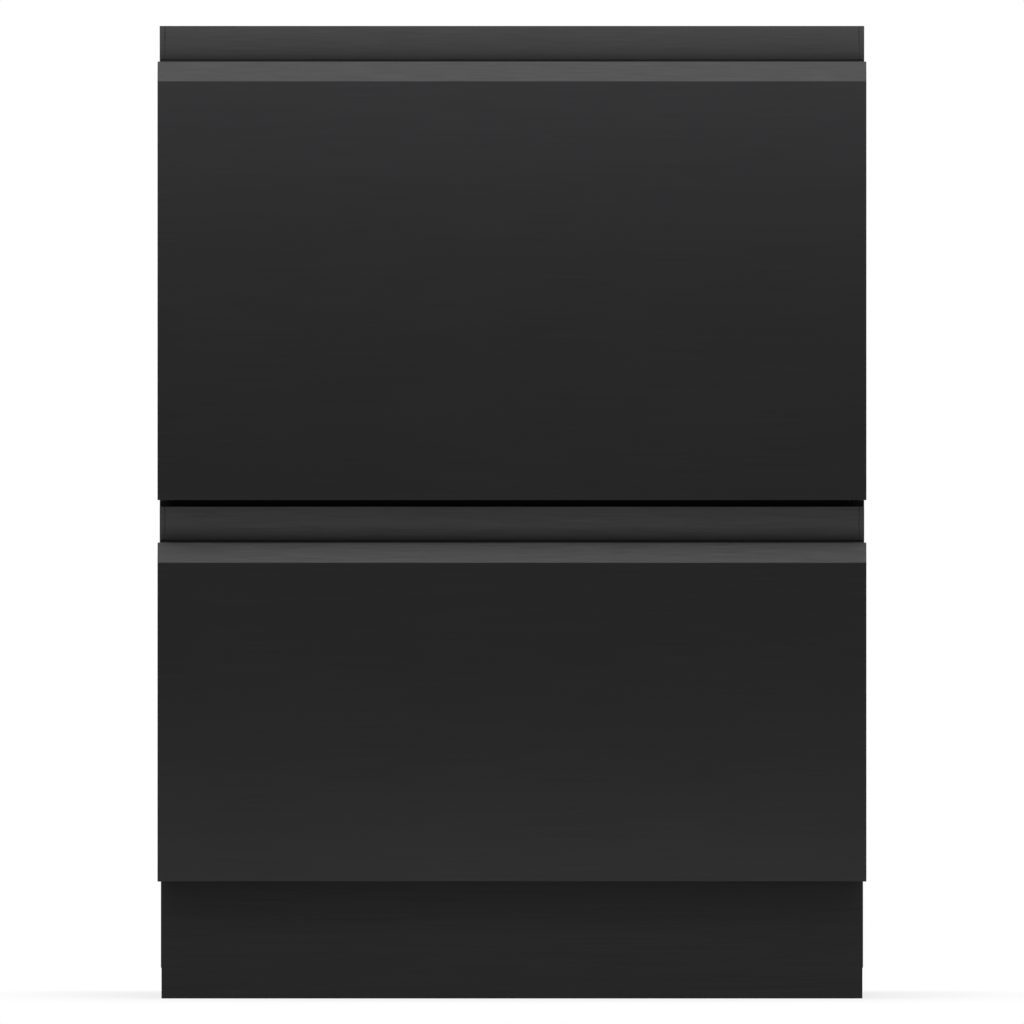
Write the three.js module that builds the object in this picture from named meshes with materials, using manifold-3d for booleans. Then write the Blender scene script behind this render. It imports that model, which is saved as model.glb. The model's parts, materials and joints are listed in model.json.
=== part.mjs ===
// A built-under dishwasher with two drawers, closed. Millimetres, +Z up, the fronts face -Y.
// The origin is on the floor, below the middle of the whole appliance.

import * as THREE from 'three';
import { mergeVertices } from 'three/addons/utils/BufferGeometryUtils.js';
import Module from 'manifold-3d';

const wasm = await Module();
wasm.setup();

// ---------------------------------------------------------------- driving dimensions

// Whole appliance, with the drawers shut and the feet screwed in.
const width = 599;
const height = 822.6;
const depth = 573;

// Clearances.
const fit = 0.3; // between two pieces that sit on each other
const running = 0.4; // between two members that slide or turn

// Fronts, seen from the front.
const upperFrontHeight = 401;
const frontGap = 5.5;
const frontFoot = 99.3; // floor to the lower edge of the lower front
const bandHeight = 30.3; // lip of the handle to the top of the front
const bevelHeight = 17;
const bandInset = 1.6; // each end of the band, inside the end of the front
const chassisInset = 2.5;
const toeInset = 3.05;

// Fronts, in section.
const frontThickness = 44;
const chassisGap = 2.3; // back of a front to the edge of the cabinet
const skin = 1;
const bevelDepth = 12;
const lipThickness = 2.5;
const lipDrop = 20;
const returnDepth = 20;
const pocketDrop = 30;
const pocketTuck = 12; // the pocket's front edge stands up inside the lip
const recessWall = 1.5;
const bandSetback = 38;
const bandStep = 1.5;
const bandLift = 2.5; // lower edge of the band above the lip
const cheekThickness = 2.5;
const linerWall = 2.5;
const linerInset = 4.5;
const linerBack = 2.7;

// Cabinet.
const sheet = 1;
const flange = 10;
const cabinetTopDrop = 2.6;
const cabinetFoot = 26;
const mouthNotch = 5; // opening above and below a runner
const beadDepth = 2;
const beadWidth = 18;
const shelfRise = 12; // middle shelf above the top of the lower front
const shelfLipDrop = 20;
const shelfFlange = 10;
const topLipDrop = 4;
const toeTop = 103;
const toeReturn = 14;
const toeFloorGap = 1;
const panWall = 2;
const panHeight = 24;
const hoseHole = 21;

// Levelling feet.
const footInsetX = 40;
const footInsetFront = 55;
const footInsetBack = 45;
const padRadius = 20;
const padHeight = 8;
const neckHeight = 8;
const padChamfer = 2;
const neckRadiusFoot = 9;
const stemRadius = 5;
const stemTop = 95;
const bossRadius = 14;
const bossHeight = 20;

// Runners.
const railLength = 500;
const railHeight = 45;
const railWidth = 12.7;
const railSheet = 1.2;
const railLip = 9;
const upperRailRise = 110.6; // middle of a runner above the floor of its tub
const lowerRailRise = 43.6;
const railSetback = 12; // front of a runner behind the edge of the cabinet

// Tubs.
const rimDrop = 32.6; // rim below the top of the front
const shelfClearance = 9.6; // upper wash motor above the middle shelf
const toeClearance = 6.2; // lower wash motor above the top of the toe kick
const tubWall = 3;
const tubDraft = 4;
const tubCorner = 36;
const floorFillet = 14;
const rimThickness = 4;
const rimLand = 12;
const rimSideClearance = 9; // rim to the inner rail
const controlDepth = 30;
const tubBackClearance = 35.5;
const rimCorner = 12;
const bracketHeight = 26;
const bracketMargin = 26;
const ribThickness = 8;
const ribDrop = 190;
const ribSpacing = 360;

// Control strip and buttons.
const stripDrop = 10.6;
const stripEndInset = 24;
const buttonRadius = 7;
const buttonHeight = 5.4;
const buttonProud = 0.9;
const buttonTravel = 1.2;
const buttonPitch = 34;

// Lid, its seal and its guides.
const lidLift = 8;
const sealHeight = 6;
const sealWidth = 8;
const lidHeight = 9.8;
const lidPlate = 3;
const lidRim = 3;
const lidEdge = 6; // edge of the lid inside the edge of the rim
const lidFrontGap = 3;
const pinRadius = 3;
const pinReach = 22;
const pinSpacing = 260;
const guidePlate = 2.5;
const guideWidth = 12.2;
const guideOverrun = 48;
const guideMargin = 4;

// Washing gear, measured from the floor of the tub.
const neckRadius = 31.7;
const neckRise = 6;
const motorRadius = 78;
const motorHeight = 34;
const motorCapRadius = 58;
const motorCapHeight = 4;
const spindleRadius = 6;
const retainerRadius = 10;
const retainerHeight = 3.5;
const filterRadius = 105;
const filterThickness = 4;
const filterBowl = 62;
const filterRidge = 5;
const filterEdge = 1.5;
const filterMesh = 2;
const armHubRadius = 20;
const armHubHeight = 18;
const armRise = 9;
const armLength = 200;
const armRootWidth = 54;
const armTipWidth = 30;
const armThickness = 11;
const armWaist = 105; // where each blade reaches its outer width
const armSweep = 5;
const armTipChamfer = 7;

// Baskets.
const basketWire = 4;
const basketLift = 40;
const basketDropFromRim = 60;
const basketGap = 15;
const wiresAcross = 6;
const wiresAlong = 8;
const fixedTineRow = 4;
const fixedTineHeight = 52;
const foldTineRow = 1;
const foldTineLength = 62;
const foldTineWire = 3;
const tineCount = 10;
const foldRodRadius = 2;

// Detergent dispenser.
const dispenserWidth = 124;
const dispenserHeight = 64;
const dispenserDepth = 30;
const dispenserDrop = 34; // below the rim
const bezelOverlap = 5;
const bezelThickness = 3;
const cupWall = 3;
const doorThickness = 2.5;
const doorMargin = 2;
const ledge = 2;
const knobInset = 9;
const knobWidth = 6;
const knobHeight = 20;
const knobProud = 3;

// Inlet valve.
const valveInset = 97; // middle of the valve inside the left side of the cabinet
const valveWidth = 40;
const valveHeight = 34;
const valveLength = 44;
const spoutRadius = 13;
const spoutBore = 8;
const spoutLength = 18;
const spoutBoreDepth = 2;
const spoutRise = 52; // above the bottom of the base pan
const coilRadius = 14;
const coilHeight = 24;

// ---------------------------------------------------------------- derived places

const half = width / 2;
const frontY = -depth / 2;
const backY = depth / 2;
const frontBackY = frontY + frontThickness;
const cabinetFrontY = frontBackY + chassisGap;
const cabinetBackY = backY - sheet - fit;
const insideFrontY = cabinetFrontY + sheet + fit;
const insideBackY = backY - sheet - beadDepth - fit;
const cabinetTop = height - cabinetTopDrop;
const cabinetHalf = half - chassisInset;
const valveX = valveInset - cabinetHalf;
const insideHalf = cabinetHalf - sheet - fit;
const mouthHalf = cabinetHalf - flange - sheet - fit;
const railFaceX = insideHalf - railWidth;
const rimHalf = railFaceX - rimSideClearance;
const tubHalf = rimHalf - rimLand;
const rimFrontY = frontBackY + fit;
const rimBackY = backY - tubBackClearance - sheet;
const tubFrontY = rimFrontY + controlDepth + rimLand - lidFrontGap;
const tubBackY = rimBackY - rimLand;
const washY = (tubFrontY + tubBackY) / 2;
const railFrontY = cabinetFrontY + railSetback;
const lowerTop = height - upperFrontHeight - frontGap;
const lowerFrontHeight = lowerTop - frontFoot;
const shelfZ = lowerTop + shelfRise;
const panBottom = cabinetFoot + sheet + fit;
const washDepth = tubWall + fit + motorHeight + motorCapHeight;
const upperFloor = shelfZ + sheet + shelfFlange + shelfClearance + washDepth;
const lowerFloor = toeTop + toeClearance + washDepth;

const units = [
  {
    name: 'upper',
    top: height,
    frontHeight: upperFrontHeight,
    floor: upperFloor,
    rail: upperFloor + upperRailRise,
  },
  {
    name: 'lower',
    top: lowerTop,
    frontHeight: lowerFrontHeight,
    floor: lowerFloor,
    rail: lowerFloor + lowerRailRise,
  },
];
const sides = [
  { name: 'left', sign: -1 },
  { name: 'right', sign: 1 },
];

// ---------------------------------------------------------------- finishes

const finishes = {
  blackSteel: { color: 0x2e2e2f, roughness: 0.42, metalness: 0.6 },
  brushedBlackSteel: { color: 0x4a4a4b, roughness: 0.36, metalness: 0.8 },
  blackPlastic: { color: 0x161617, roughness: 0.55, metalness: 0 },
  greyPlastic: { color: 0x8d9195, roughness: 0.5, metalness: 0 },
  palePlastic: { color: 0xc9cdd0, roughness: 0.45, metalness: 0 },
  zincSteel: { color: 0xa9adb0, roughness: 0.4, metalness: 0.9 },
  railSteel: { color: 0xb9bcbf, roughness: 0.3, metalness: 1 },
  blackPaint: { color: 0x0c0c0d, roughness: 0.6, metalness: 0.2 },
  rubber: { color: 0x3a3c3e, roughness: 0.8, metalness: 0 },
  coatedWire: { color: 0x9aa0a5, roughness: 0.45, metalness: 0 },
};

// ---------------------------------------------------------------- solids

const root = new THREE.Group();
const roundSteps = 24; // flats round a circle; a shaft and its bore have as many
const stemSteps = 16;

const axisX = new THREE.Vector3(1, 0, 0);
const axisY = new THREE.Vector3(0, 1, 0);
const axisZ = new THREE.Vector3(0, 0, 1);
const alongX = new THREE.Matrix4().makeBasis(axisY, axisZ, axisX);
const alongY = new THREE.Matrix4().makeBasis(axisZ, axisX, axisY);

// A closed geometry as a solid that can be joined and cut.
function solid(geometry) {
  const bare = geometry.clone();
  bare.deleteAttribute('normal');
  bare.deleteAttribute('uv');
  const merged = mergeVertices(bare, 1e-4);
  const corners = merged.index.array;
  const kept = [];
  for (let i = 0; i < corners.length; i += 3) {
    const [a, b, c] = corners.slice(i, i + 3);
    if (a !== b && b !== c && c !== a) kept.push(a, b, c);
  }
  return new wasm.Manifold(new wasm.Mesh({
    numProp: 3,
    vertProperties: new Float32Array(merged.attributes.position.array),
    triVerts: new Uint32Array(kept),
  }));
}

function join(...solids) {
  return wasm.Manifold.union(solids.flat());
}

function cut(body, ...tools) {
  return body.subtract(join(...tools));
}

// A box from its lowest and highest place on each axis.
function block([x0, x1], [y0, y1], [z0, z1]) {
  const geometry = new THREE.BoxGeometry(x1 - x0, y1 - y0, z1 - z0);
  geometry.translate((x0 + x1) / 2, (y0 + y1) / 2, (z0 + z1) / 2);
  return solid(geometry);
}

function prism(outline, from, to, basis) {
  const shape = new THREE.Shape(outline.map(([a, b]) => new THREE.Vector2(a, b)));
  const geometry = new THREE.ExtrudeGeometry(shape, { depth: to - from, bevelEnabled: false });
  geometry.translate(0, 0, from);
  if (basis) geometry.applyMatrix4(basis);
  return solid(geometry);
}

// An outline of (y, z) points pulled along X, and one of (x, z) points pulled along Y.
const prismX = (outline, from, to) => prism(outline, from, to, alongX);
const prismY = (outline, from, to) => prism(outline.map(([x, z]) => [z, x]), from, to, alongY);

function rod(axis, radius, [from, to], [u, v], steps = roundSteps) {
  const geometry = new THREE.CylinderGeometry(radius, radius, to - from, steps);
  if (axis === 'x') {
    geometry.rotateZ(-Math.PI / 2);
    geometry.translate((from + to) / 2, u, v);
  } else if (axis === 'y') {
    geometry.translate(u, (from + to) / 2, v);
  } else {
    geometry.rotateX(Math.PI / 2);
    geometry.translate(u, v, (from + to) / 2);
  }
  return solid(geometry);
}

// A profile of (radius, z) points turned about the vertical axis.
function turned(profile, steps = roundSteps) {
  const points = profile.map(([r, z]) => new THREE.Vector2(r, z));
  const geometry = new THREE.LatheGeometry(points, steps);
  geometry.rotateX(Math.PI / 2);
  const body = solid(geometry);
  return body.volume() < 0 ? turned([...profile].reverse(), steps) : body;
}

// A closed ring of points: a rectangle with round corners, at one height.
function ring([x0, x1], [y0, y1], radius, z, steps = 5) {
  const corners = [
    [x1 - radius, y1 - radius, 0],
    [x0 + radius, y1 - radius, 1],
    [x0 + radius, y0 + radius, 2],
    [x1 - radius, y0 + radius, 3],
  ];
  return corners.flatMap(([x, y, quarter]) => Array.from({ length: steps + 1 }, (_, i) => {
    const angle = (quarter + i / steps) * Math.PI / 2;
    return [x + radius * Math.cos(angle), y + radius * Math.sin(angle), z];
  }));
}

// A closed body through rings of equal length, with a flat cap on the first and the last.
function loft(rings) {
  const count = rings[0].length;
  const positions = rings.flat(2);
  const index = [];
  for (let level = 0; level < rings.length - 1; level += 1) {
    for (let i = 0; i < count; i += 1) {
      const a = level * count + i;
      const b = level * count + (i + 1) % count;
      index.push(a, b, b + count, a, b + count, a + count);
    }
  }
  const last = (rings.length - 1) * count;
  for (let i = 1; i < count - 1; i += 1) {
    index.push(0, i + 1, i);
    index.push(last, last + i, last + i + 1);
  }
  const geometry = new THREE.BufferGeometry();
  geometry.setAttribute('position', new THREE.Float32BufferAttribute(positions, 3));
  geometry.setIndex(index);
  return solid(geometry);
}

// Adds a solid to a group as a named mesh with its finish.
function place(group, name, body, finish) {
  const result = body.asOriginal().simplify().getMesh();
  const geometry = new THREE.BufferGeometry();
  geometry.setAttribute('position', new THREE.BufferAttribute(result.vertProperties, 3));
  geometry.setIndex(new THREE.BufferAttribute(result.triVerts, 1));
  geometry.computeVertexNormals();
  const mesh = new THREE.Mesh(geometry, new THREE.MeshStandardMaterial(finishes[finish]));
  mesh.name = name;
  group.add(mesh);
  return mesh;
}

const span = (center, size) => [center - size / 2, center + size / 2];
const ordered = (a, b) => [Math.min(a, b), Math.max(a, b)];
const even = (from, to, count) => Array.from(
  { length: count },
  (_, i) => from + (to - from) * (i + 1) / (count + 1),
);

// ---------------------------------------------------------------- cabinet

// A shallow groove pressed into a sheet: what it adds behind, and what it takes in front.
function bead(outer, inner) {
  return { add: block(...outer), take: block(...inner) };
}

function pressed(body, beads) {
  if (!beads.length) return body;
  return cut(join(body, beads.map((b) => b.add)), beads.map((b) => b.take));
}

function sideBeads() {
  const y = [cabinetFrontY + bracketMargin + flange, cabinetBackY - bracketMargin - flange];
  const levels = units.flatMap((unit) => {
    const reach = railHeight / 2 + mouthNotch + 3 * beadWidth / 2;
    return [unit.rail - reach, unit.rail + reach];
  });
  return levels.map((z) => bead(
    [[cabinetHalf - sheet - beadDepth, cabinetHalf - sheet / 2], y, span(z, beadWidth)],
    [[cabinetHalf - beadDepth, cabinetHalf + sheet], [y[0] + sheet, y[1] - sheet],
      span(z, beadWidth - 2 * sheet)],
  ));
}

// The right side panel, from its flat sheet, its four flanges and its beads.
function sidePanel() {
  const x = [cabinetHalf - sheet, cabinetHalf];
  const inward = [cabinetHalf - sheet - flange, cabinetHalf];
  const y = [cabinetFrontY, cabinetBackY];
  const flangeTop = cabinetTop - sheet - fit;
  const z = [cabinetFoot, flangeTop];
  const body = join(
    block(x, y, [cabinetFoot, cabinetTop]),
    block(inward, [y[0], y[0] + sheet], z),
    block(inward, [y[1] - sheet, y[1]], z),
    block(inward, y, [cabinetFoot, cabinetFoot + sheet]),
    block(inward, y, [flangeTop - sheet, flangeTop]),
  );
  const notches = units.map((unit) => block(
    [inward[0] - sheet, x[0]],
    [y[0] - sheet, y[0] + 2 * sheet],
    span(unit.rail, railHeight + 2 * mouthNotch),
  ));
  return cut(pressed(body, sideBeads()), notches);
}

function topPanel() {
  const z = [cabinetTop - sheet, cabinetTop];
  const y = [cabinetFrontY, cabinetBackY];
  const body = join(
    block([-insideHalf, insideHalf], y, z),
    block([-mouthHalf, mouthHalf], [y[0], y[0] + sheet], [z[0] - topLipDrop, z[1]]),
  );
  const beadY = [y[0] + bracketMargin, y[1] - bracketMargin];
  const beads = even(-insideHalf, insideHalf, 3).map((x) => bead(
    [span(x, beadWidth), beadY, [z[0] - beadDepth, z[0] + sheet / 2]],
    [span(x, beadWidth - 2 * sheet), [beadY[0] + sheet, beadY[1] - sheet],
      [z[1] - beadDepth, z[1] + sheet]],
  ));
  return pressed(body, beads);
}

function backPanel() {
  const y = [backY - sheet, backY];
  const z = [panBottom + panHeight + fit, cabinetTop];
  const body = block([-cabinetHalf, cabinetHalf], y, z);
  const beadZ = [z[0] + 2 * spoutRise, z[1] - bracketMargin];
  const beads = even(-cabinetHalf, cabinetHalf, 4).map((x) => bead(
    [span(x, beadWidth), [y[0] - beadDepth, y[0] + sheet / 2], beadZ],
    [span(x, beadWidth - 2 * sheet), [y[1] - beadDepth, y[1] + sheet],
      [beadZ[0] + sheet, beadZ[1] - sheet]],
  ));
  const holes = [valveX, -valveX].map((x) => rod(
    'y', hoseHole, [y[0] - sheet, y[1] + sheet], [x, panBottom + spoutRise],
  ));
  return cut(pressed(body, beads), holes);
}

function middleShelf() {
  const z = [shelfZ, shelfZ + sheet];
  const y = [insideFrontY, insideBackY];
  const upright = [z[0], z[1] + shelfFlange];
  const body = join(
    block([-insideHalf, insideHalf], y, z),
    block([-mouthHalf, mouthHalf], [cabinetFrontY, y[0] + sheet], z),
    block([-mouthHalf, mouthHalf], [cabinetFrontY, cabinetFrontY + sheet],
      [z[0] - shelfLipDrop, z[1] + shelfFlange]),
    sides.map(({ sign }) => block(
      ordered(sign * (insideHalf - sheet), sign * insideHalf), y, upright,
    )),
  );
  const beadY = [y[0] + bracketMargin, y[1] - bracketMargin];
  const beads = even(-insideHalf, insideHalf, 3).map((x) => bead(
    [span(x, beadWidth), beadY, [z[1] - sheet / 2, z[1] + beadDepth]],
    [span(x, beadWidth - 2 * sheet), [beadY[0] + sheet, beadY[1] - sheet],
      [z[0] - sheet, z[0] + beadDepth]],
  ));
  return pressed(body, beads);
}

const footPlaces = [
  { name: 'front_left', x: -(cabinetHalf - footInsetX), y: cabinetFrontY + footInsetFront },
  { name: 'front_right', x: cabinetHalf - footInsetX, y: cabinetFrontY + footInsetFront },
  { name: 'back_left', x: -(cabinetHalf - footInsetX), y: cabinetBackY - footInsetBack },
  { name: 'back_right', x: cabinetHalf - footInsetX, y: cabinetBackY - footInsetBack },
];

// The leak tray: a shallow moulded pan with a bored boss over each foot.
function basePan() {
  const y = [insideFrontY, insideBackY];
  const top = panBottom + panHeight;
  const tray = cut(
    block([-insideHalf, insideHalf], y, [panBottom, top]),
    block([panWall - insideHalf, insideHalf - panWall], [y[0] + panWall, y[1] - panWall],
      [panBottom + panWall, top + panWall]),
  );
  const bosses = footPlaces.map(({ x, y: footY }) => (
    rod('z', bossRadius, [panBottom, panBottom + bossHeight], [x, footY])
  ));
  const bores = footPlaces.map(({ x, y: footY }) => (
    rod('z', stemRadius + fit, [panBottom - panWall, top + panWall], [x, footY], stemSteps)
  ));
  return cut(join(tray, bosses), bores);
}

function toeKick() {
  const x = [toeInset - half, half - toeInset];
  const y = [cabinetFrontY - fit - sheet, cabinetFrontY - fit];
  const back = [y[0], y[0] + toeReturn];
  return join(
    block(x, y, [toeFloorGap, toeTop]),
    block([-mouthHalf, mouthHalf], back, [toeTop - sheet, toeTop]),
    block([-mouthHalf, mouthHalf], back, [toeFloorGap, toeFloorGap + sheet]),
  );
}

function levellingFoot() {
  return turned([
    [0, 0],
    [padRadius - padChamfer, 0],
    [padRadius, padChamfer],
    [padRadius, padHeight - padChamfer],
    [neckRadiusFoot, padHeight],
    [neckRadiusFoot, padHeight + neckHeight],
    [stemRadius, padHeight + neckHeight],
    [stemRadius, stemTop],
    [0, stemTop],
  ], stemSteps);
}

// The valve stands in the base pan; its spout passes through the hole in the back panel.
function inletValve() {
  const seat = panBottom + panWall + fit;
  const spoutZ = panBottom + spoutRise;
  const y = [backY - spoutLength - valveLength, backY - spoutLength];
  const bodyZ = span(spoutZ, valveHeight);
  const outer = join(
    block(span(valveX, valveWidth), y, bodyZ),
    block(span(valveX, valveWidth / 2), grown(y, -cupWall), [seat, spoutZ]),
    rod('y', spoutRadius, [y[1] - fit, backY - fit], [valveX, spoutZ]),
    rod('z', coilRadius, [spoutZ, bodyZ[1] + coilHeight], [valveX, (y[0] + y[1]) / 2]),
  );
  return cut(outer, rod('y', spoutBore, [y[1] - spoutBoreDepth, backY], [valveX, spoutZ], stemSteps));
}

// ---------------------------------------------------------------- drawer fronts
// From here on Z is measured from the top of the drawer's front, and (d, z) pairs give the
// depth behind the face.

const atDepth = ([d, z]) => [frontY + d, z];
const lipTop = -bandHeight;

// The folded steel skin: bottom return, face, bevel, and the lip turned down into the pocket.
function frontPanel(unit) {
  const foot = -unit.frontHeight;
  const bevelFoot = lipTop - bevelHeight;
  const lipBack = bevelDepth + lipThickness;
  const slope = skin * bevelHeight / Math.hypot(bevelHeight, bevelDepth);
  const section = [
    [returnDepth, foot],
    [0, foot],
    [0, bevelFoot],
    [bevelDepth, lipTop],
    [lipBack, lipTop],
    [lipBack, lipTop - lipDrop],
    [lipBack - skin, lipTop - lipDrop],
    [lipBack - skin, lipTop - skin],
    [bevelDepth + slope / 2, lipTop - skin],
    [skin, bevelFoot - slope / 2],
    [skin, foot + skin],
    [returnDepth, foot + skin],
  ];
  const end = [
    [0, foot],
    [0, bevelFoot],
    [bevelDepth, lipTop],
    [lipBack, lipTop],
    [returnDepth, lipTop - (returnDepth - lipBack)],
    [returnDepth, foot],
  ];
  return join(
    prismX(section.map(atDepth), -half, half),
    prismX(end.map(atDepth), -half, skin - half),
    prismX(end.map(atDepth), half - skin, half),
  );
}

// Half circle under the pocket, from its front wall to its back wall.
function pocketArc(front, back, offset, steps = 8) {
  const radius = (back - front) / 2 + offset;
  const center = [(front + back) / 2, lipTop - pocketDrop + (back - front) / 2];
  return Array.from({ length: steps + 1 }, (_, i) => {
    const angle = Math.PI + Math.PI * i / steps;
    return [center[0] + radius * Math.cos(angle), center[1] + radius * Math.sin(angle)];
  });
}

const lipInnerFace = bevelDepth + lipThickness - skin - fit;
const recessBack = bandSetback + bandStep;

// The finger pocket, its back wall and the band above it, closed by a cheek at each end.
function handleRecess() {
  const bandHalf = half - bandInset;
  const tuckTop = lipTop - lipDrop + pocketTuck;
  const section = [
    [lipInnerFace - recessWall, tuckTop],
    [lipInnerFace, tuckTop],
    ...pocketArc(lipInnerFace, recessBack, 0),
    [recessBack, lipTop + bandLift],
    [bandSetback, lipTop + bandLift],
    [bandSetback, 0],
    [frontThickness, 0],
    [frontThickness, -recessWall],
    [recessBack + recessWall, -recessWall],
    ...pocketArc(lipInnerFace, recessBack, recessWall).reverse(),
  ];
  const lipBack = bevelDepth + lipThickness + fit;
  const cheek = [
    ...pocketArc(lipInnerFace, recessBack, recessWall / 2),
    [recessBack, lipTop],
    [lipBack, lipTop],
    [lipBack, lipTop - pocketDrop + (recessBack - lipInnerFace) / 2],
  ];
  const lipSlot = [
    [lipInnerFace, lipTop],
    [lipBack, lipTop],
    [lipBack, lipTop - lipDrop - fit],
    [lipInnerFace, lipTop - lipDrop - fit],
  ];
  const cheeks = sides.map(({ sign }) => prismX(
    cheek.map(atDepth), ...ordered(sign * (bandHalf - cheekThickness), sign * bandHalf),
  ));
  return cut(
    join(prismX(section.map(atDepth), -bandHalf, bandHalf), cheeks),
    prismX(lipSlot.map(atDepth), -half, half),
  );
}

// The moulded pan that the skin wraps; it carries the recess and closes the front's back.
function frontLiner(unit) {
  const x = [linerInset - half, half - linerInset];
  const foot = -unit.frontHeight + skin + fit;
  const pocketFloor = lipTop - pocketDrop - recessWall;
  const shelf = pocketFloor - fit;
  const front = frontY + skin + fit;
  const back = [frontBackY - linerBack, frontBackY];
  const pan = cut(
    block(x, [front, frontBackY], [foot, shelf]),
    block([x[0] + linerWall, x[1] - linerWall], [front - linerWall, back[0]],
      [foot + linerWall, shelf - linerWall]),
  );
  return join(pan, block(x, back, [foot, -recessWall - fit]));
}

// ---------------------------------------------------------------- controls

const stripX = [stripEndInset - rimHalf, rimHalf - stripEndInset];
const stripY = [rimFrontY, rimFrontY + controlDepth];
const buttons = [
  { name: 'power_button', x: stripX[0] + buttonPitch },
  { name: 'start_button', x: stripX[1] - buttonPitch },
];
const buttonFoot = -stripDrop + buttonProud - buttonHeight;

function controlStrip() {
  const body = block(stripX, stripY, [fit - rimDrop, -stripDrop]);
  const wells = buttons.map(({ x }) => rod(
    'z', buttonRadius + fit, [buttonFoot - buttonTravel - fit, 0], [x, (stripY[0] + stripY[1]) / 2],
  ));
  return cut(body, wells);
}

function pushButton({ x }) {
  const y = (stripY[0] + stripY[1]) / 2;
  return rod('z', buttonRadius, [buttonFoot, buttonFoot + buttonHeight], [x, y]);
}

// ---------------------------------------------------------------- tub

const tubFloor = (unit) => unit.floor - unit.top;
const grown = ([a, b], by) => [a - by, b + by];

// One ring of the tub at a height. The sides and the back lean in by the draft, the front wall
// stands upright, and all four move out by a wall or in by a fillet.
function tubRing(z, lean, out, radius) {
  const x = grown([-tubHalf, tubHalf], out - lean);
  return ring(x, [tubFrontY - out, tubBackY - lean + out], radius, z);
}

function tub(unit) {
  const rim = -rimDrop;
  const floor = tubFloor(unit);
  const under = floor - tubWall;
  const inward = floorFillet * (1 - Math.SQRT1_2);
  const outward = floorFillet + tubWall;
  const outwardCut = outward * (1 - Math.SQRT1_2);
  const lean = tubDraft;
  const inner = tubCorner - tubWall;
  const shell = loft([
    tubRing(under, lean, tubWall - outward, tubCorner - outward),
    tubRing(under + outwardCut, lean, tubWall - outwardCut, tubCorner - outwardCut),
    tubRing(under + outward, lean, tubWall, tubCorner),
    tubRing(rim - rimThickness, 0, tubWall, tubCorner),
    ring([-rimHalf, rimHalf], [rimFrontY, rimBackY], rimCorner, rim - rimThickness),
    ring([-rimHalf, rimHalf], [rimFrontY, rimBackY], rimCorner, rim),
    tubRing(rim, 0, 0, inner),
    tubRing(floor + floorFillet, lean, 0, inner),
    tubRing(floor + inward, lean, -inward, inner - inward),
    tubRing(floor, lean, -floorFillet, inner - floorFillet),
  ]);
  const cuts = [
    rod('z', neckRadius + fit, [under - tubWall, floor + tubWall], [0, washY]),
    dispenserWindow(),
  ];
  return cut(join(shell, tubBrackets(unit), tubRibs()), cuts);
}

// A long boss on each side that carries the inner rail.
function tubBrackets(unit) {
  const z = span(unit.rail - unit.top, bracketHeight);
  const y = [tubFrontY + tubCorner, tubBackY - tubCorner];
  return sides.map(({ sign }) => block(
    ordered(sign * (tubHalf - tubDraft / 2 + tubWall / 2), sign * (railFaceX - fit)), y, z,
  ));
}

// Upright ribs from the front wall of the tub to the back of the drawer's front.
function tubRibs() {
  return [-1, 1].map((sign) => block(
    span(sign * ribSpacing / 2, ribThickness),
    [rimFrontY, tubFrontY - tubWall / 2],
    [-rimDrop - ribDrop, -rimDrop - rimThickness / 2],
  ));
}

// ---------------------------------------------------------------- dispenser

const dispenserX = [-dispenserWidth / 2, dispenserWidth / 2];
const dispenserZ = [-rimDrop - dispenserDrop - dispenserHeight, -rimDrop - dispenserDrop];
const doorY = [
  tubFrontY + fit + bezelThickness + fit,
  tubFrontY + fit + bezelThickness + fit + doorThickness,
];
const cupX = [dispenserX[0] + cupWall, -cupWall];
const cupZ = [dispenserZ[0] + cupWall, dispenserZ[1] - cupWall];

function dispenserWindow() {
  return block(grown(dispenserX, fit), [tubFrontY - 2 * tubWall, tubFrontY + tubWall],
    grown(dispenserZ, fit));
}

// A cup for powder with an open front, a closed rinse-aid tank beside it, and a bezel with two
// ledges that the door slides between.
function dispenser() {
  const bezelZ = grown(dispenserZ, bezelOverlap);
  const bezelX = grown(dispenserX, bezelOverlap);
  const face = tubFrontY + fit + bezelThickness;
  const body = join(
    block(dispenserX, [face - dispenserDepth, face], dispenserZ),
    block(bezelX, [tubFrontY + fit, face], bezelZ),
    block(bezelX, [face - fit, doorY[1]], [bezelZ[1] - ledge, bezelZ[1]]),
    block(bezelX, [face - fit, doorY[1]], [bezelZ[0], bezelZ[0] + ledge]),
  );
  return cut(body, block(cupX, [face - dispenserDepth + cupWall, face + cupWall], cupZ));
}

function dispenserDoor() {
  const z = [dispenserZ[0] - bezelOverlap + ledge + fit, dispenserZ[1] + bezelOverlap - ledge - fit];
  const x = grown(cupX, doorMargin);
  const knob = block(
    span(x[1] - knobInset, knobWidth),
    [doorY[0], doorY[1] + knobProud],
    span((z[0] + z[1]) / 2, knobHeight),
  );
  return join(block(x, doorY, z), knob);
}

// ---------------------------------------------------------------- washing gear

const atWashCenter = (body) => body.translate([0, washY, 0]);

function washMotor(unit) {
  const floor = tubFloor(unit);
  const seat = floor - tubWall - fit;
  const foot = seat - motorHeight;
  const hubTop = floor + armRise + armHubHeight;
  return atWashCenter(turned([
    [0, foot - motorCapHeight],
    [motorCapRadius, foot - motorCapHeight],
    [motorCapRadius, foot],
    [motorRadius, foot],
    [motorRadius, seat],
    [neckRadius, seat],
    [neckRadius, floor + neckRise],
    [armHubRadius, floor + neckRise],
    [armHubRadius, floor + armRise - running],
    [spindleRadius, floor + armRise - running],
    [spindleRadius, hubTop + running],
    [retainerRadius, hubTop + running],
    [retainerRadius, hubTop + running + retainerHeight],
    [0, hubTop + running + retainerHeight],
  ]));
}

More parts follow.
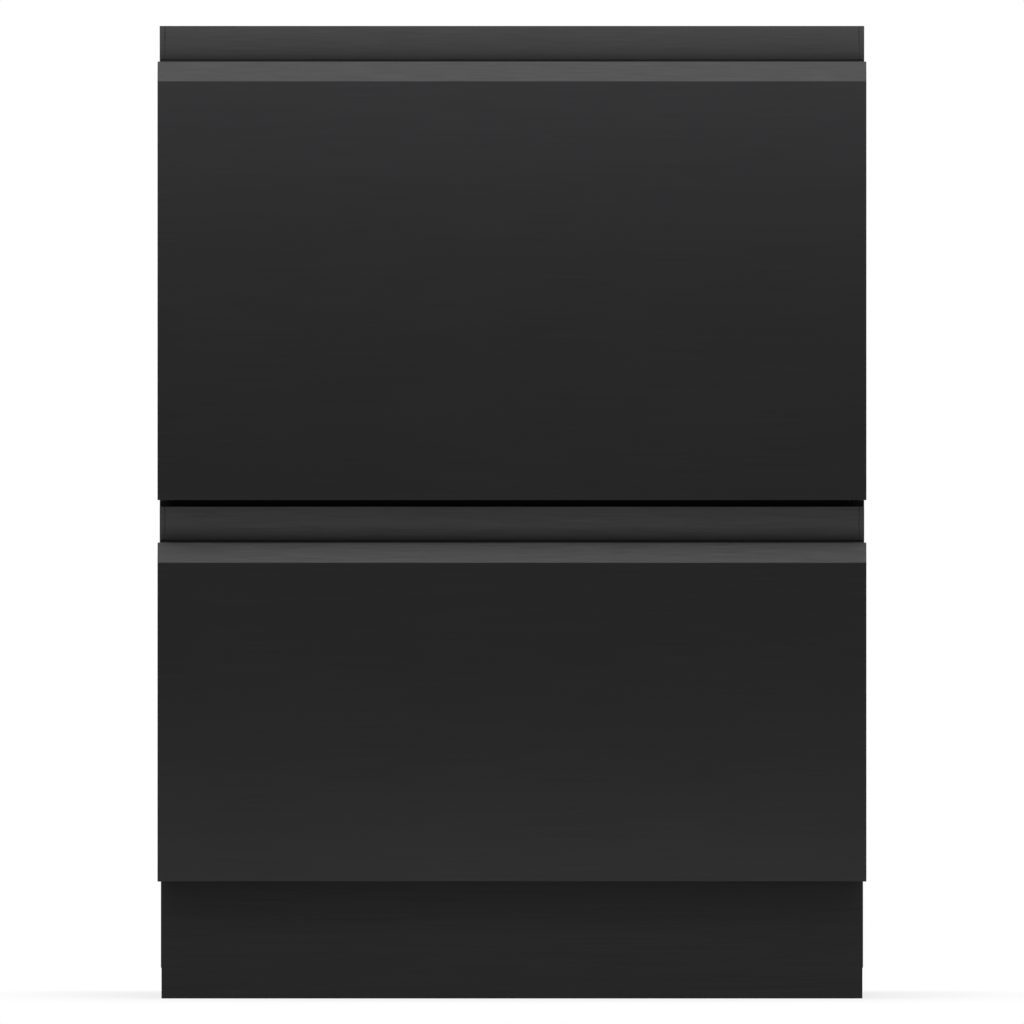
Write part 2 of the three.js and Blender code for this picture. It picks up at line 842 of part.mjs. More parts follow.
function filterPlate(unit) {
  const floor = tubFloor(unit) + fit;
  return atWashCenter(turned([
    [neckRadius + fit, floor],
    [filterRadius, floor],
    [filterRadius, floor + filterEdge],
    [filterBowl + filterRidge, floor + filterThickness],
    [filterBowl, floor + filterMesh],
    [neckRadius + 2 * filterRidge, floor + filterMesh],
    [neckRadius + filterRidge, floor + filterThickness],
    [neckRadius + fit, floor + filterThickness],
    [neckRadius + fit, floor],
  ]));
}

// Two swept blades on a bored hub.
function sprayArm(unit) {
  const foot = tubFloor(unit) + armRise;
  const z = span(foot + armHubHeight / 2, armThickness);
  const blade = [
    [0, -armRootWidth / 2],
    [armWaist, -armTipWidth / 2 - armSweep],
    [armLength - armTipWidth / 2, -armTipWidth / 2],
    [armLength - armTipChamfer, -armTipChamfer],
    [armLength, 0],
    [armLength - armTipChamfer, armTipChamfer],
    [armLength - armTipWidth / 2, armTipWidth / 2],
    [armWaist, armTipWidth / 2],
    [0, armRootWidth / 2 - armSweep],
  ];
  const body = join(
    prism(blade, ...z),
    prism(blade.map(([x, y]) => [-x, -y]), ...z),
    rod('z', armHubRadius, [foot, foot + armHubHeight], [0, 0]),
  );
  const bore = rod('z', spindleRadius + running, grown([foot, foot + armHubHeight], fit), [0, 0]);
  return atWashCenter(cut(body, bore));
}

// ---------------------------------------------------------------- basket

function basketFrame(unit) {
  const floor = tubFloor(unit);
  const inset = basketGap + tubDraft;
  return {
    x: [inset - tubHalf, tubHalf - inset],
    y: [doorY[1] + basketGap, tubBackY - inset],
    z: [floor + basketLift, -rimDrop - basketDropFromRim],
    floor,
  };
}

// A straight square wire between two points that differ on one axis.
function wire([x0, y0, z0], [x1, y1, z1], size = basketWire) {
  const reach = size / 2;
  return block(
    [Math.min(x0, x1) - reach, Math.max(x0, x1) + reach],
    [Math.min(y0, y1) - reach, Math.max(y0, y1) + reach],
    [Math.min(z0, z1) - reach, Math.max(z0, z1) + reach],
  );
}

const rectangle = ([a0, a1], [b0, b1]) => [[a0, b0], [a1, b0], [a1, b1], [a0, b1]];

// A flat grid of square wires, with its outer wires centred on the edges of the rectangle.
function wireGrid(a, b, aBars, bBars, at, basis) {
  const reach = basketWire / 2;
  const aLines = [a[0], ...aBars, a[1]];
  const bLines = [b[0], ...bBars, b[1]];
  const plate = prism(
    rectangle(grown(a, reach), grown(b, reach)), ...span(at, basketWire), basis,
  );
  const meshes = aLines.slice(1).flatMap((a1, i) => bLines.slice(1).map((b1, j) => prism(
    rectangle(grown([aLines[i], a1], -reach), grown([bLines[j], b1], -reach)),
    ...span(at, 2 * basketWire), basis,
  )));
  return cut(plate, meshes);
}

function basket(unit) {
  const { x, y, z, floor } = basketFrame(unit);
  const rowY = even(...y, wiresAcross);
  const columnX = even(...x, wiresAlong);
  const grids = [
    wireGrid(x, y, columnX, rowY, z[0]),
    ...x.map((at) => wireGrid(y, z, rowY, [], at, alongX)),
    ...y.map((at) => wireGrid(z, x, [], columnX, at, alongY)),
  ];
  const tines = even(...x, tineCount).map((at) => (
    wire([at, rowY[fixedTineRow], z[0]], [at, rowY[fixedTineRow], z[0] + fixedTineHeight])
  ));
  const legFoot = floor + fit + basketWire / 2;
  const legs = [columnX[0], columnX[wiresAlong - 1]].flatMap((legX) => (
    [rowY[0], rowY[wiresAcross - 1]].map((legY) => wire([legX, legY, legFoot], [legX, legY, z[0]]))
  ));
  return join(grids, tines, legs);
}

// The row of tines that folds flat: a round rod on the floor of the basket, with tines on it.
function foldRod(unit) {
  const { x, y, z } = basketFrame(unit);
  return {
    x: [x[0] + basketWire, x[1] - basketWire],
    y: even(...y, wiresAcross)[foldTineRow],
    z: z[0] + basketWire / 2 + fit + foldRodRadius,
  };
}

function foldDownTines(unit) {
  const { x, y, z } = foldRod(unit);
  const tines = even(...x, tineCount).map((at) => (
    wire([at, y, z], [at, y + foldTineLength, z], foldTineWire)
  ));
  return join(rod('x', foldRodRadius, x, [y, z], 12), tines);
}

// ---------------------------------------------------------------- runners

const railY = [railFrontY, railFrontY + railLength];
const nested = railHeight - 2 * (railSheet + running);
const innermost = nested - 2 * (railSheet + running);
const midWebX = insideHalf - railSheet - running;

// A channel along Y, with its web at x0 and its lips towards x1.
function channel(unit, x0, x1, size) {
  const towards = Math.sign(x1 - x0);
  const web = x0 + towards * railSheet;
  const [zFoot, zTop] = span(unit.rail - unit.top, size);
  return prismY([
    [x0, zFoot],
    [x1, zFoot],
    [x1, zFoot + railSheet],
    [web, zFoot + railSheet],
    [web, zTop - railSheet],
    [x1, zTop - railSheet],
    [x1, zTop],
    [x0, zTop],
  ], ...railY);
}

const fixedRail = (unit) => channel(unit, insideHalf, insideHalf - railLip, railHeight);
const midRail = (unit) => channel(unit, midWebX, midWebX - railLip, nested);
const innerRail = (unit) => channel(unit, railFaceX, railFaceX + railLip, innermost);

// ---------------------------------------------------------------- lid

const lidX = [lidEdge - rimHalf, rimHalf - lidEdge];
const lidY = [stripY[1] + lidFrontGap, rimBackY - lidEdge];
const sealFoot = -rimDrop + lidLift + running;
const lidFoot = sealFoot + sealHeight + fit;
const lidTop = lidFoot + lidHeight;
const pinZ = (lidFoot + lidTop) / 2;
const pinY = span((lidY[0] + lidY[1]) / 2, pinSpacing);
const guideX = insideHalf - guideWidth;

// A ribbed moulding, open above, with two guide pins on each side.
function lid() {
  const shell = cut(
    block(lidX, lidY, [lidFoot, lidTop]),
    block(grown(lidX, -lidRim), grown(lidY, -lidRim), [lidFoot + lidPlate, lidTop + lidPlate]),
  );
  const ribs = even(...lidX, 3).map((x) => block(span(x, lidRim), lidY, [lidFoot, lidTop]));
  const pins = sides.flatMap(({ sign }) => pinY.map((y) => rod(
    'x', pinRadius,
    ordered(sign * (lidX[1] - lidRim / 2), sign * (lidX[1] + pinReach)),
    [y, pinZ], 12,
  )));
  return join(shell, ribs, pins);
}

function lidSeal() {
  return cut(
    block(lidX, lidY, [sealFoot, sealFoot + sealHeight]),
    block(grown(lidX, -sealWidth), grown(lidY, -sealWidth),
      [sealFoot - sealWidth, sealFoot + 2 * sealHeight]),
  );
}

// A channel on the right side panel, slotted for the pins of the lid.
function lidGuide() {
  const slotHalf = pinRadius + fit;
  const z = [pinZ - lidLift - slotHalf - guideMargin, pinZ + slotHalf + guideMargin];
  const y = grown(pinY, guideOverrun);
  const body = join(
    block([guideX, guideX + guidePlate], y, z),
    block([guideX, insideHalf], y, [z[0], z[0] + guidePlate]),
    block([guideX, insideHalf], y, [z[1] - guidePlate, z[1]]),
  );
  const slots = pinY.map((at) => block(
    [guideX - guidePlate, guideX + 2 * guidePlate],
    span(at, 2 * slotHalf),
    [pinZ - lidLift - slotHalf, pinZ + slotHalf],
  ));
  return cut(body, slots);
}

// ---------------------------------------------------------------- assembly

const mirrored = (body, sign) => (sign > 0 ? body : body.mirror([1, 0, 0]));

function addCabinet() {
  sides.forEach(({ name, sign }) => {
    place(root, `${name}_side_panel`, mirrored(sidePanel(), sign), 'zincSteel');
  });
  place(root, 'top_panel', topPanel(), 'zincSteel');
  place(root, 'back_panel', backPanel(), 'zincSteel');
  place(root, 'middle_shelf', middleShelf(), 'blackPaint');
  place(root, 'base_pan', basePan(), 'greyPlastic');
  place(root, 'toe_kick', toeKick(), 'blackSteel');
  footPlaces.forEach(({ name, x, y }) => {
    const foot = place(root, `${name}_foot`, levellingFoot(), 'blackPlastic');
    foot.position.set(x, y, 0);
  });
  place(root, 'inlet_valve', inletValve(), 'palePlastic');
}

function addFront(group, unit) {
  place(group, `${unit.name}_front_panel`, frontPanel(unit), 'blackSteel');
  place(group, `${unit.name}_handle_recess`, handleRecess(), 'brushedBlackSteel');
  place(group, `${unit.name}_front_liner`, frontLiner(unit), 'blackPlastic');
  place(group, `${unit.name}_control_strip`, controlStrip(), 'blackPlastic');
  buttons.forEach((button) => {
    place(group, `${unit.name}_${button.name}`, pushButton(button), 'palePlastic');
  });
}

function addTub(group, unit) {
  place(group, `${unit.name}_tub`, tub(unit), 'greyPlastic');
  place(group, `${unit.name}_dispenser`, dispenser(), 'palePlastic');
  place(group, `${unit.name}_dispenser_door`, dispenserDoor(), 'greyPlastic');
  place(group, `${unit.name}_wash_motor`, washMotor(unit), 'blackPlastic');
  place(group, `${unit.name}_filter_plate`, filterPlate(unit), 'greyPlastic');
  place(group, `${unit.name}_spray_arm`, sprayArm(unit), 'palePlastic');
  place(group, `${unit.name}_basket`, basket(unit), 'coatedWire');
  place(group, `${unit.name}_fold_down_tines`, foldDownTines(unit), 'coatedWire');
}

function addRunners(group, unit) {
  sides.forEach(({ name, sign }) => {
    place(group, `${unit.name}_fixed_rail_${name}`, mirrored(fixedRail(unit), sign), 'railSteel');
    place(group, `${unit.name}_mid_rail_${name}`, mirrored(midRail(unit), sign), 'railSteel');
    place(group, `${unit.name}_inner_rail_${name}`, mirrored(innerRail(unit), sign), 'railSteel');
  });
}

function addLid(group, unit) {
  place(group, `${unit.name}_lid`, lid(), 'palePlastic');
  place(group, `${unit.name}_lid_seal`, lidSeal(), 'rubber');
  sides.forEach(({ name, sign }) => {
    place(group, `${unit.name}_lid_guide_${name}`, mirrored(lidGuide(), sign), 'blackPlastic');
  });
}

addCabinet();
units.forEach((unit) => {
  const group = new THREE.Group();
  group.position.z = unit.top;
  addFront(group, unit);
  addTub(group, unit);
  addRunners(group, unit);
  addLid(group, unit);
  root.add(group);
});

export default root;
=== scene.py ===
import json
import math

import bmesh
import bpy
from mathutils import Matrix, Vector

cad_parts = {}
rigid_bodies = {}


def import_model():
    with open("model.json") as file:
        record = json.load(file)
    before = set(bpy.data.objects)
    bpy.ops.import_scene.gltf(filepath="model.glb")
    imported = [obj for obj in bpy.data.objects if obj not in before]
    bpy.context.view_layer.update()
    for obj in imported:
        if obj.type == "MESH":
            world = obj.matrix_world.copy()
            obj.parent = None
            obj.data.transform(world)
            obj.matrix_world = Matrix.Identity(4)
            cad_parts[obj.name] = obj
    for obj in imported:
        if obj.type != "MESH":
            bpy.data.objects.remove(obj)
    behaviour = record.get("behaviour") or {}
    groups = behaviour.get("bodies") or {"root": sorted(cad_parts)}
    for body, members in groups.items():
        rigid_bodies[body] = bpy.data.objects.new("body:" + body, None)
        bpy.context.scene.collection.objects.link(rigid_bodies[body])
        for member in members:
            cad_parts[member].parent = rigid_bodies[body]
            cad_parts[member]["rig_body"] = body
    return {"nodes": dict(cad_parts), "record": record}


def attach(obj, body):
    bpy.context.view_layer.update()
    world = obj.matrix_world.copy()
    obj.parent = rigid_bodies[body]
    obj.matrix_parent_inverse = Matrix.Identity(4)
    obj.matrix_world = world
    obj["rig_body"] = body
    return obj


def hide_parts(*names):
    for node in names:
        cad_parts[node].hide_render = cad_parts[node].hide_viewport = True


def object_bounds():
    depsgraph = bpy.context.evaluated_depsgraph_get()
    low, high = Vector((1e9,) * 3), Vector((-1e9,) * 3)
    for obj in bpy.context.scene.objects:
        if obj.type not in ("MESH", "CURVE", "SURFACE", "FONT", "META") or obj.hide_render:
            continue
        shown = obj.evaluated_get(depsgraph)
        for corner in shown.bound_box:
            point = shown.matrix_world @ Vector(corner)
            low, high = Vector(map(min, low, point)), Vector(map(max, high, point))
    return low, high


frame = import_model()
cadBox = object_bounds()
nodes = frame["nodes"]
slotOf = {part["node"]: part["material_slot"] for part in frame["record"]["subparts"]}
scene = bpy.context.scene
print("frame loaded,", len(nodes), "solids")

# camera: a very long lens from far off, square to the fronts, so that there is next to no perspective
shot = {
    "distance": 40.0,
    "x": 0.00004,
    "height": 0.41157,
    "lens": 1664.5,
    "sensor": 36.0,
    "reach": 150.0,
}


def makeCamera():
    lens = bpy.data.cameras.new("camera")
    lens.lens = shot["lens"]
    lens.sensor_width = shot["sensor"]
    lens.clip_end = shot["reach"]
    camera = bpy.data.objects.new("camera", lens)
    scene.collection.objects.link(camera)
    camera.location = (shot["x"], cadBox[0].y - shot["distance"], shot["height"])
    camera.rotation_euler = (math.radians(90), 0, 0)
    scene.camera = camera


makeCamera()
scene.view_settings.view_transform = "Standard"
print("camera placed")


def linearColour(hexCode):
    channels = [int(hexCode[i:i + 2], 16) / 255 for i in (1, 3, 5)]
    return [c / 12.92 if c <= 0.04045 else ((c + 0.055) / 1.055) ** 2.4 for c in channels] + [1.0]


def addNode(tree, kind, links=None, **settings):
    node = tree.nodes.new("ShaderNode" + kind)
    for name, value in settings.items():
        setattr(node, name, value)
    for name, value in (links or {}).items():
        if isinstance(value, bpy.types.NodeSocket):
            tree.links.new(value, node.inputs[name])
        else:
            node.inputs[name].default_value = value
    return node


def startFinish(name, colour, roughness, metallic=0.0, ior=1.5, **constants):
    finish = bpy.data.materials.new(name)
    finish.use_nodes = True
    tree = finish.node_tree
    surface = tree.nodes["Principled BSDF"]
    surface.inputs["Base Color"].default_value = linearColour(colour)
    surface.inputs["Roughness"].default_value = roughness
    surface.inputs["Metallic"].default_value = metallic
    if not metallic:
        surface.inputs["IOR"].default_value = ior
    for socket, value in constants.items():
        surface.inputs[socket.replace("_", " ")].default_value = value
    return finish, tree, surface


# noise in the piece's own coordinates; per millimetre along x, y and z
def grain(tree, perMm, detail=2.0, roughness=0.5):
    place = addNode(tree, "TexCoord")
    stretch = addNode(tree, "Mapping", {
        "Vector": place.outputs["Object"],
        "Scale": [1000 * value for value in perMm],
    })
    return addNode(tree, "TexNoise", {
        "Vector": stretch.outputs["Vector"],
        "Scale": 1.0,
        "Detail": detail,
        "Roughness": roughness,
    }).outputs["Fac"]


def spread(tree, value, low, high, fromLow=0.3, fromHigh=0.7):
    return addNode(tree, "MapRange", {
        "Value": value,
        "From Min": fromLow,
        "From Max": fromHigh,
        "To Min": low,
        "To Max": high,
    }).outputs["Result"]


# the pattern moves the base colour between two shades
def colourBy(tree, surface, pattern, dark, light, *span):
    mix = addNode(tree, "Mix", {"Factor": spread(tree, pattern, 0, 1, *span)}, data_type="RGBA")
    mix.inputs["A"].default_value = linearColour(dark)
    mix.inputs["B"].default_value = linearColour(light)
    colour = next(out for out in mix.outputs if out.type == "RGBA")
    tree.links.new(colour, surface.inputs["Base Color"])


def roughBy(tree, surface, pattern, low, high, *span):
    tree.links.new(spread(tree, pattern, low, high, *span), surface.inputs["Roughness"])


def relief(tree, surface, height, mm, strength=1.0):
    bump = addNode(tree, "Bump", {"Height": height, "Strength": strength, "Distance": mm / 1000})
    tree.links.new(bump.outputs["Normal"], surface.inputs["Normal"])


linished = {"length": 90, "pitch": 0.9, "detail": 3, "fine": 0.5, "mm": 0.004, "strength": 0.3}
brushed = {"length": 40, "pitch": 1.1, "detail": 7, "fine": 0.65, "mm": 0.01, "strength": 0.4}


# stainless sheet with a black bonded coat: linished sideways and satin on the fronts, where clouds move
# its sheen, duller on the toe kick, and left coarsely brushed in long light streaks along the handle
def blackStainless(name, dark, light, rough, brush, sheen=0, clouded=False):
    finish, tree, surface = startFinish(name, dark, rough, metallic=1.0)
    lengthwise = 1 / brush["length"]
    lines = grain(tree, (lengthwise, lengthwise, 1 / brush["pitch"]), brush["detail"], brush["fine"])
    colourBy(tree, surface, lines, dark, light)
    if sheen:
        pattern = grain(tree, (0.006, 0.006, 0.01)) if clouded else lines
        roughBy(tree, surface, pattern, rough + sheen, rough - sheen)
    relief(tree, surface, lines, brush["mm"], brush["strength"])
    return finish


shadowPaint = {"colour": "#080808", "roughness": 0.85, "peel": 1.5}


# black paint on the cabinet's middle shelf and front edges, made near-black and dull: painted shade, so that
# the gap between the fronts reads as a shadow line
def paintedShadowBlack():
    rough = shadowPaint["roughness"]
    finish, tree, surface = startFinish("painted_shadow_black", shadowPaint["colour"], rough,
                                        Specular_IOR_Level=0.12)
    peel = grain(tree, [1 / shadowPaint["peel"]] * 3, detail=1)
    roughBy(tree, surface, peel, rough - 0.04, rough + 0.04)
    relief(tree, surface, peel, 0.03, 0.25)
    return finish


spangle = {"dark": "#979c9e", "light": "#a7acae", "roughness": 0.42, "crystal": 5.0, "warp": 4.0,
           "shift": 0.004}


# hot-dip galvanised sheet: crystals about 5 mm across, each with its own faint grey and gloss
def galvanisedSheet():
    rough = spangle["roughness"]
    finish, tree, surface = startFinish("galvanised_sheet", spangle["dark"], rough, metallic=0.8)
    place = addNode(tree, "TexCoord")
    warp = grain(tree, [1 / spangle["warp"]] * 3)
    small = addNode(tree, "Math", {0: warp, 1: spangle["shift"]}, operation="MULTIPLY")
    shifted = addNode(tree, "VectorMath", {0: place.outputs["Object"], 1: small.outputs[0]}, operation="ADD")
    crystals = addNode(tree, "TexVoronoi", {
        "Vector": shifted.outputs["Vector"],
        "Scale": 1000 / spangle["crystal"],
    })
    shade = addNode(tree, "RGBToBW", {"Color": crystals.outputs["Color"]}).outputs["Val"]
    colourBy(tree, surface, shade, spangle["dark"], spangle["light"], 0.1, 0.9)
    roughBy(tree, surface, shade, rough - 0.03, rough + 0.04, 0.1, 0.9)
    relief(tree, surface, grain(tree, (0.4, 0.4, 0.4), detail=3), 0.02, 0.2)
    return finish


zinc = {"dark": "#b4b8ba", "light": "#c9cccd", "roughness": 0.28}


# zinc-plated and passivated steel: bright, faintly drawn along the runner
def zincPlatedSteel():
    finish, tree, surface = startFinish("zinc_plated_steel", zinc["dark"], zinc["roughness"], metallic=1.0)
    drawn = grain(tree, (0.9, 0.012, 0.9), detail=3)
    colourBy(tree, surface, drawn, zinc["dark"], zinc["light"])
    roughBy(tree, surface, drawn, zinc["roughness"] + 0.06, zinc["roughness"] - 0.04)
    return finish


# an injection moulding: a fine spark-eroded texture, and soft flow marks in its colour
def moulded(name, dark, light, roughness, ior=1.5, texture=0.8, depth=0.02):
    finish, tree, surface = startFinish(name, dark, roughness, ior=ior)
    spark = grain(tree, [1 / texture] * 3)
    colourBy(tree, surface, grain(tree, (0.012, 0.012, 0.006)), dark, light)
    roughBy(tree, surface, spark, roughness - 0.05, roughness + 0.05)
    relief(tree, surface, spark, depth, 0.35)
    return finish


wireCoat = {"dark": "#737a80", "light": "#7f868d", "roughness": 0.34}


# steel wire dipped in nylon 11: smooth, thick and slightly waxy
def nylonCoat():
    finish, tree, surface = startFinish("nylon_coated_wire", wireCoat["dark"], wireCoat["roughness"],
                                        ior=1.53, Coat_Weight=0.15, Coat_Roughness=0.3)
    colourBy(tree, surface, grain(tree, (0.05, 0.05, 0.05)), wireCoat["dark"], wireCoat["light"])
    return finish


rubber = {"middle": "#3b3d3f", "dark": "#37393b", "light": "#45474a", "roughness": 0.72}


# EPDM rubber: matt, dull, with a dusty bloom
def mouldedRubber():
    finish, tree, surface = startFinish("epdm_rubber", rubber["middle"], rubber["roughness"], ior=1.52)
    colourBy(tree, surface, grain(tree, (0.05, 0.05, 0.05), detail=4), rubber["dark"], rubber["light"])
    relief(tree, surface, grain(tree, (1.2, 1.2, 1.2)), 0.03, 0.3)
    return finish


acrylic = {"colour": "#6d7478", "roughness": 0.2, "haze": 0.04}


# smoked acrylic over the display and the lamps, which are off
def smokedAcrylic():
    rough = acrylic["roughness"]
    finish, tree, surface = startFinish("smoked_acrylic_lens", acrylic["colour"], rough, ior=1.49)
    haze = grain(tree, (0.5, 0.5, 0.5))
    roughBy(tree, surface, haze, rough - acrylic["haze"], rough + acrylic["haze"])
    return finish


finishes = {
    "front": blackStainless("satin_black_stainless", "#212122", "#242425", 0.34, linished, -0.02, clouded=True),
    "trim": blackStainless("brushed_black_stainless", "#303030", "#373737", 0.36, brushed, 0.05),
    # a lighter copy of the handle's brushed steel for the up-facing bevel: painted highlight where light from
    # above falls
    "bevel": blackStainless("brushed_black_stainless_painted_highlight", "#383838", "#3e3e3e", 0.36, brushed, 0.05),
    "toe": blackStainless("dull_black_stainless", "#212122", "#252526", 0.55, linished),
    "shadow": paintedShadowBlack(),
    "galvanised": galvanisedSheet(),
    "zinc": zincPlatedSteel(),
    "blackAbs": moulded("moulded_black_abs", "#1d1d1e", "#222223", 0.5),
    "tub": moulded("moulded_grey_polypropylene", "#a2a7aa", "#aaafb2", 0.42, ior=1.49),
    "pale": moulded("moulded_pale_polypropylene", "#cdd1d3", "#d6d9da", 0.4, ior=1.49),
    "rubber": mouldedRubber(),
    "wire": nylonCoat(),
    "cap": moulded("moulded_satin_cap", "#b2b4b6", "#b8babb", 0.3, ior=1.53, depth=0.006),
    "lens": smokedAcrylic(),
}
finishOfSlot = {
    "front_steel": "front",
    "band_steel": "trim",
    "toe_steel": "toe",
    "black_moulding": "blackAbs",
    "tub_moulding": "tub",
    "pale_moulding": "pale",
    "zinc_steel": "galvanised",
    "rail_steel": "zinc",
    "black_paint": "shadow",
    "seal_rubber": "rubber",
    "coated_wire": "wire",
    "button_cap": "cap",
}
for name, node in nodes.items():
    node.data.materials.clear()
    node.data.materials.append(finishes[finishOfSlot[slotOf[name]]])
print("finishes made,", len(finishes))

studio = {
    "worldForDiffuse": 0.65,
    "floorReach": 100,
    "floorShade": 0.3,  # how much of the shadow shows inside this box, and how far outside it ends
    "shadeCentre": (0, -0.2, 0),
    "shadeHalf": (0.3, 0.49, 0),
    "shadeReach": 0.2,
    "lamps": {
        "upper_strip": {"at": (0, -1.3, 0.95), "to": (0, -0.28, 0.7), "size": (3.2, 0.3), "watts": 10.2},
        "lower_strip": {"at": (0, -0.9, 0.06), "to": (0, -0.28, 0.2), "size": (3.2, 0.1), "watts": 2.3},
        "top_bank": {"at": (0, -0.55, 2.3), "to": (0, -0.1, 0.8), "size": (2.4, 1.2), "watts": 13.2},
    },
}


def seenRays(tree):
    path = addNode(tree, "LightPath")
    seen = path.outputs["Is Camera Ray"]
    for ray in ("Is Glossy Ray", "Is Transmission Ray"):
        seen = addNode(tree, "Math", {0: seen, 1: path.outputs[ray]}, operation="MAXIMUM").outputs[0]
    return seen


def makeWorld():
    world = bpy.data.worlds.new("studio")
    scene.world = world
    world.use_nodes = True
    tree = world.node_tree
    tree.nodes.clear()
    light = addNode(tree, "Background", {"Color": (1, 1, 1, 1), "Strength": studio["worldForDiffuse"]})
    white = addNode(tree, "Background", {"Color": (1, 1, 1, 1), "Strength": 1.0})
    mix = addNode(tree, "MixShader", {0: seenRays(tree), 1: light.outputs[0], 2: white.outputs[0]})
    addNode(tree, "OutputWorld", {"Surface": mix.outputs[0]})


# white paper floor: it glows white where it is seen, and keeps a soft shadow round the object
def makeFloor():
    mesh = bpy.data.meshes.new("floor")
    reach = studio["floorReach"]
    corners = [(-reach, -reach, 0), (reach, -reach, 0), (reach, reach, 0), (-reach, reach, 0)]
    mesh.from_pydata(corners, [], [(0, 1, 2, 3)])
    floor = bpy.data.objects.new("floor", mesh)
    scene.collection.objects.link(floor)
    finish, tree, surface = startFinish("floor_paper", "#f4f4f4", 0.9)
    output = tree.nodes["Material Output"]
    glow = addNode(tree, "Emission", {"Color": (1, 1, 1, 1), "Strength": 1.0})
    away = addNode(tree, "NewGeometry").outputs["Position"]
    for operation, by in (("SUBTRACT", studio["shadeCentre"]), ("ABSOLUTE", (0, 0, 0)),
                          ("SUBTRACT", studio["shadeHalf"]), ("MAXIMUM", (0, 0, 0))):
        away = addNode(tree, "VectorMath", {0: away, 1: by}, operation=operation).outputs["Vector"]
    fade = addNode(tree, "MapRange", {
        "Value": addNode(tree, "VectorMath", {0: away}, operation="LENGTH").outputs["Value"],
        "From Min": 0.0,
        "From Max": studio["shadeReach"],
        "To Min": studio["floorShade"],
        "To Max": 0.0,
    }, interpolation_type="SMOOTHSTEP")
    seen = addNode(tree, "MixShader", {0: fade.outputs[0], 1: glow.outputs[0], 2: surface.outputs[0]})
    mix = addNode(tree, "MixShader", {0: seenRays(tree), 1: surface.outputs[0], 2: seen.outputs[0]})
    tree.links.new(mix.outputs[0], output.inputs["Surface"])
    mesh.materials.append(finish)


def makeLamps():
    for name, lamp in studio["lamps"].items():
        data = bpy.data.lights.new(name, "AREA")
        data.shape = "RECTANGLE"
        data.size, data.size_y = lamp["size"]
        data.energy = lamp["watts"]
        piece = bpy.data.objects.new(name, data)
        scene.collection.objects.link(piece)
        piece.location = lamp["at"]
        aim = Vector(lamp["to"]) - Vector(lamp["at"])
        piece.rotation_euler = aim.to_track_quat("-Z", "Y").to_euler()
        piece.visible_camera = False


makeWorld()
makeFloor()
makeLamps()
print("studio lit,", len(studio["lamps"]), "lamps")

metresPerMm = 0.001
smoothAngle = 32  # faces that meet at more degrees than this keep a sharp edge


# a piece from (vertices in mm, faces, look number or numbers) parts
def makePiece(name, parts, looks, smooth=smoothAngle):
    shape = bmesh.new()
    for vertices, faces, *mark in parts:
        corners = [shape.verts.new(Vector(v) * metresPerMm) for v in vertices]
        marks = mark[0] if mark and isinstance(mark[0], list) else (mark or [0]) * len(faces)
        for face, look in zip(faces, marks):
            shape.faces.new([corners[c] for c in face]).material_index = look
    bmesh.ops.recalc_face_normals(shape, faces=shape.faces)
    mesh = bpy.data.meshes.new(name)
    shape.to_mesh(mesh)
    shape.free()
    piece = bpy.data.objects.new(name, mesh)
    scene.collection.objects.link(piece)
    for look in [looks] if isinstance(looks, str) else looks:
        mesh.materials.append(finishes[look])
    mesh.shade_smooth()
    mesh.set_sharp_from_angle(angle=math.radians(smooth))
    return piece


def roundEdges(piece, width, segments=2, sharp=30):
    bevel = piece.modifiers.new("edges", "BEVEL")
    bevel.width = width / 1000
    bevel.segments = segments
    bevel.limit_method = "ANGLE"
    bevel.angle_limit = math.radians(sharp)
    piece.modifiers.new("joins", "WELD").merge_threshold = 0.00001
    return piece


def settle(piece, body, slot, *replaced):
    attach(piece, body)
    if replaced:
        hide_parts(*replaced)
    return piece


# the piece takes the place of one solid of the frame
def standFor(piece, node):
    return settle(piece, nodes[node]["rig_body"], slotOf[node], node)


# takes the shapes of some parts out of a piece for good
def cutOut(piece, parts):
    cutter = makePiece("cutter", parts, "blackAbs")
    change = piece.modifiers.new("cut", "BOOLEAN")
    change.operation = "DIFFERENCE"
    change.solver = "EXACT"
    change.use_self = True
    change.object = cutter
    bpy.context.view_layer.update()
    piece.data = bpy.data.meshes.new_from_object(piece.evaluated_get(bpy.context.evaluated_depsgraph_get()))
    piece.modifiers.clear()
    bpy.data.objects.remove(cutter)
    piece.data.set_sharp_from_angle(angle=math.radians(smoothAngle))
    return piece


# a solid of the frame as clean flat faces with softly broken edges; pick chooses a look for a face
def dressed(node, name, looks, edge=0.4, segments=2, pick=None, extra=(), holes=()):
    shape = bmesh.new()
    shape.from_mesh(nodes[node].data)
    bmesh.ops.remove_doubles(shape, verts=shape.verts, dist=1e-6)
    bmesh.ops.dissolve_limit(shape, angle_limit=math.radians(1.5), verts=shape.verts, edges=shape.edges)
    shape.normal_update()
    vertices = [v.co * 1000 for v in shape.verts]
    faces = [[v.index for v in face.verts] for face in shape.faces]
    marks = [pick(face.calc_center_median() * 1000, face.normal) for face in shape.faces] if pick else 0
    shape.free()
    piece = makePiece(name, [(vertices, faces, marks), *extra], looks)
    if holes:
        cutOut(piece, holes)
    return standFor(roundEdges(piece, edge, segments), node)


def wide(span, by):
    return span[0] - by, span[1] + by


def around(middle, half):
    return middle - half, middle + half


def slab(x, y, z):
    vertices = [(a, b, c) for c in z for b in y for a in x]
    return vertices, [(0, 2, 3, 1), (4, 5, 7, 6), (0, 1, 5, 4), (2, 6, 7, 3), (0, 4, 6, 2), (1, 3, 7, 5)]


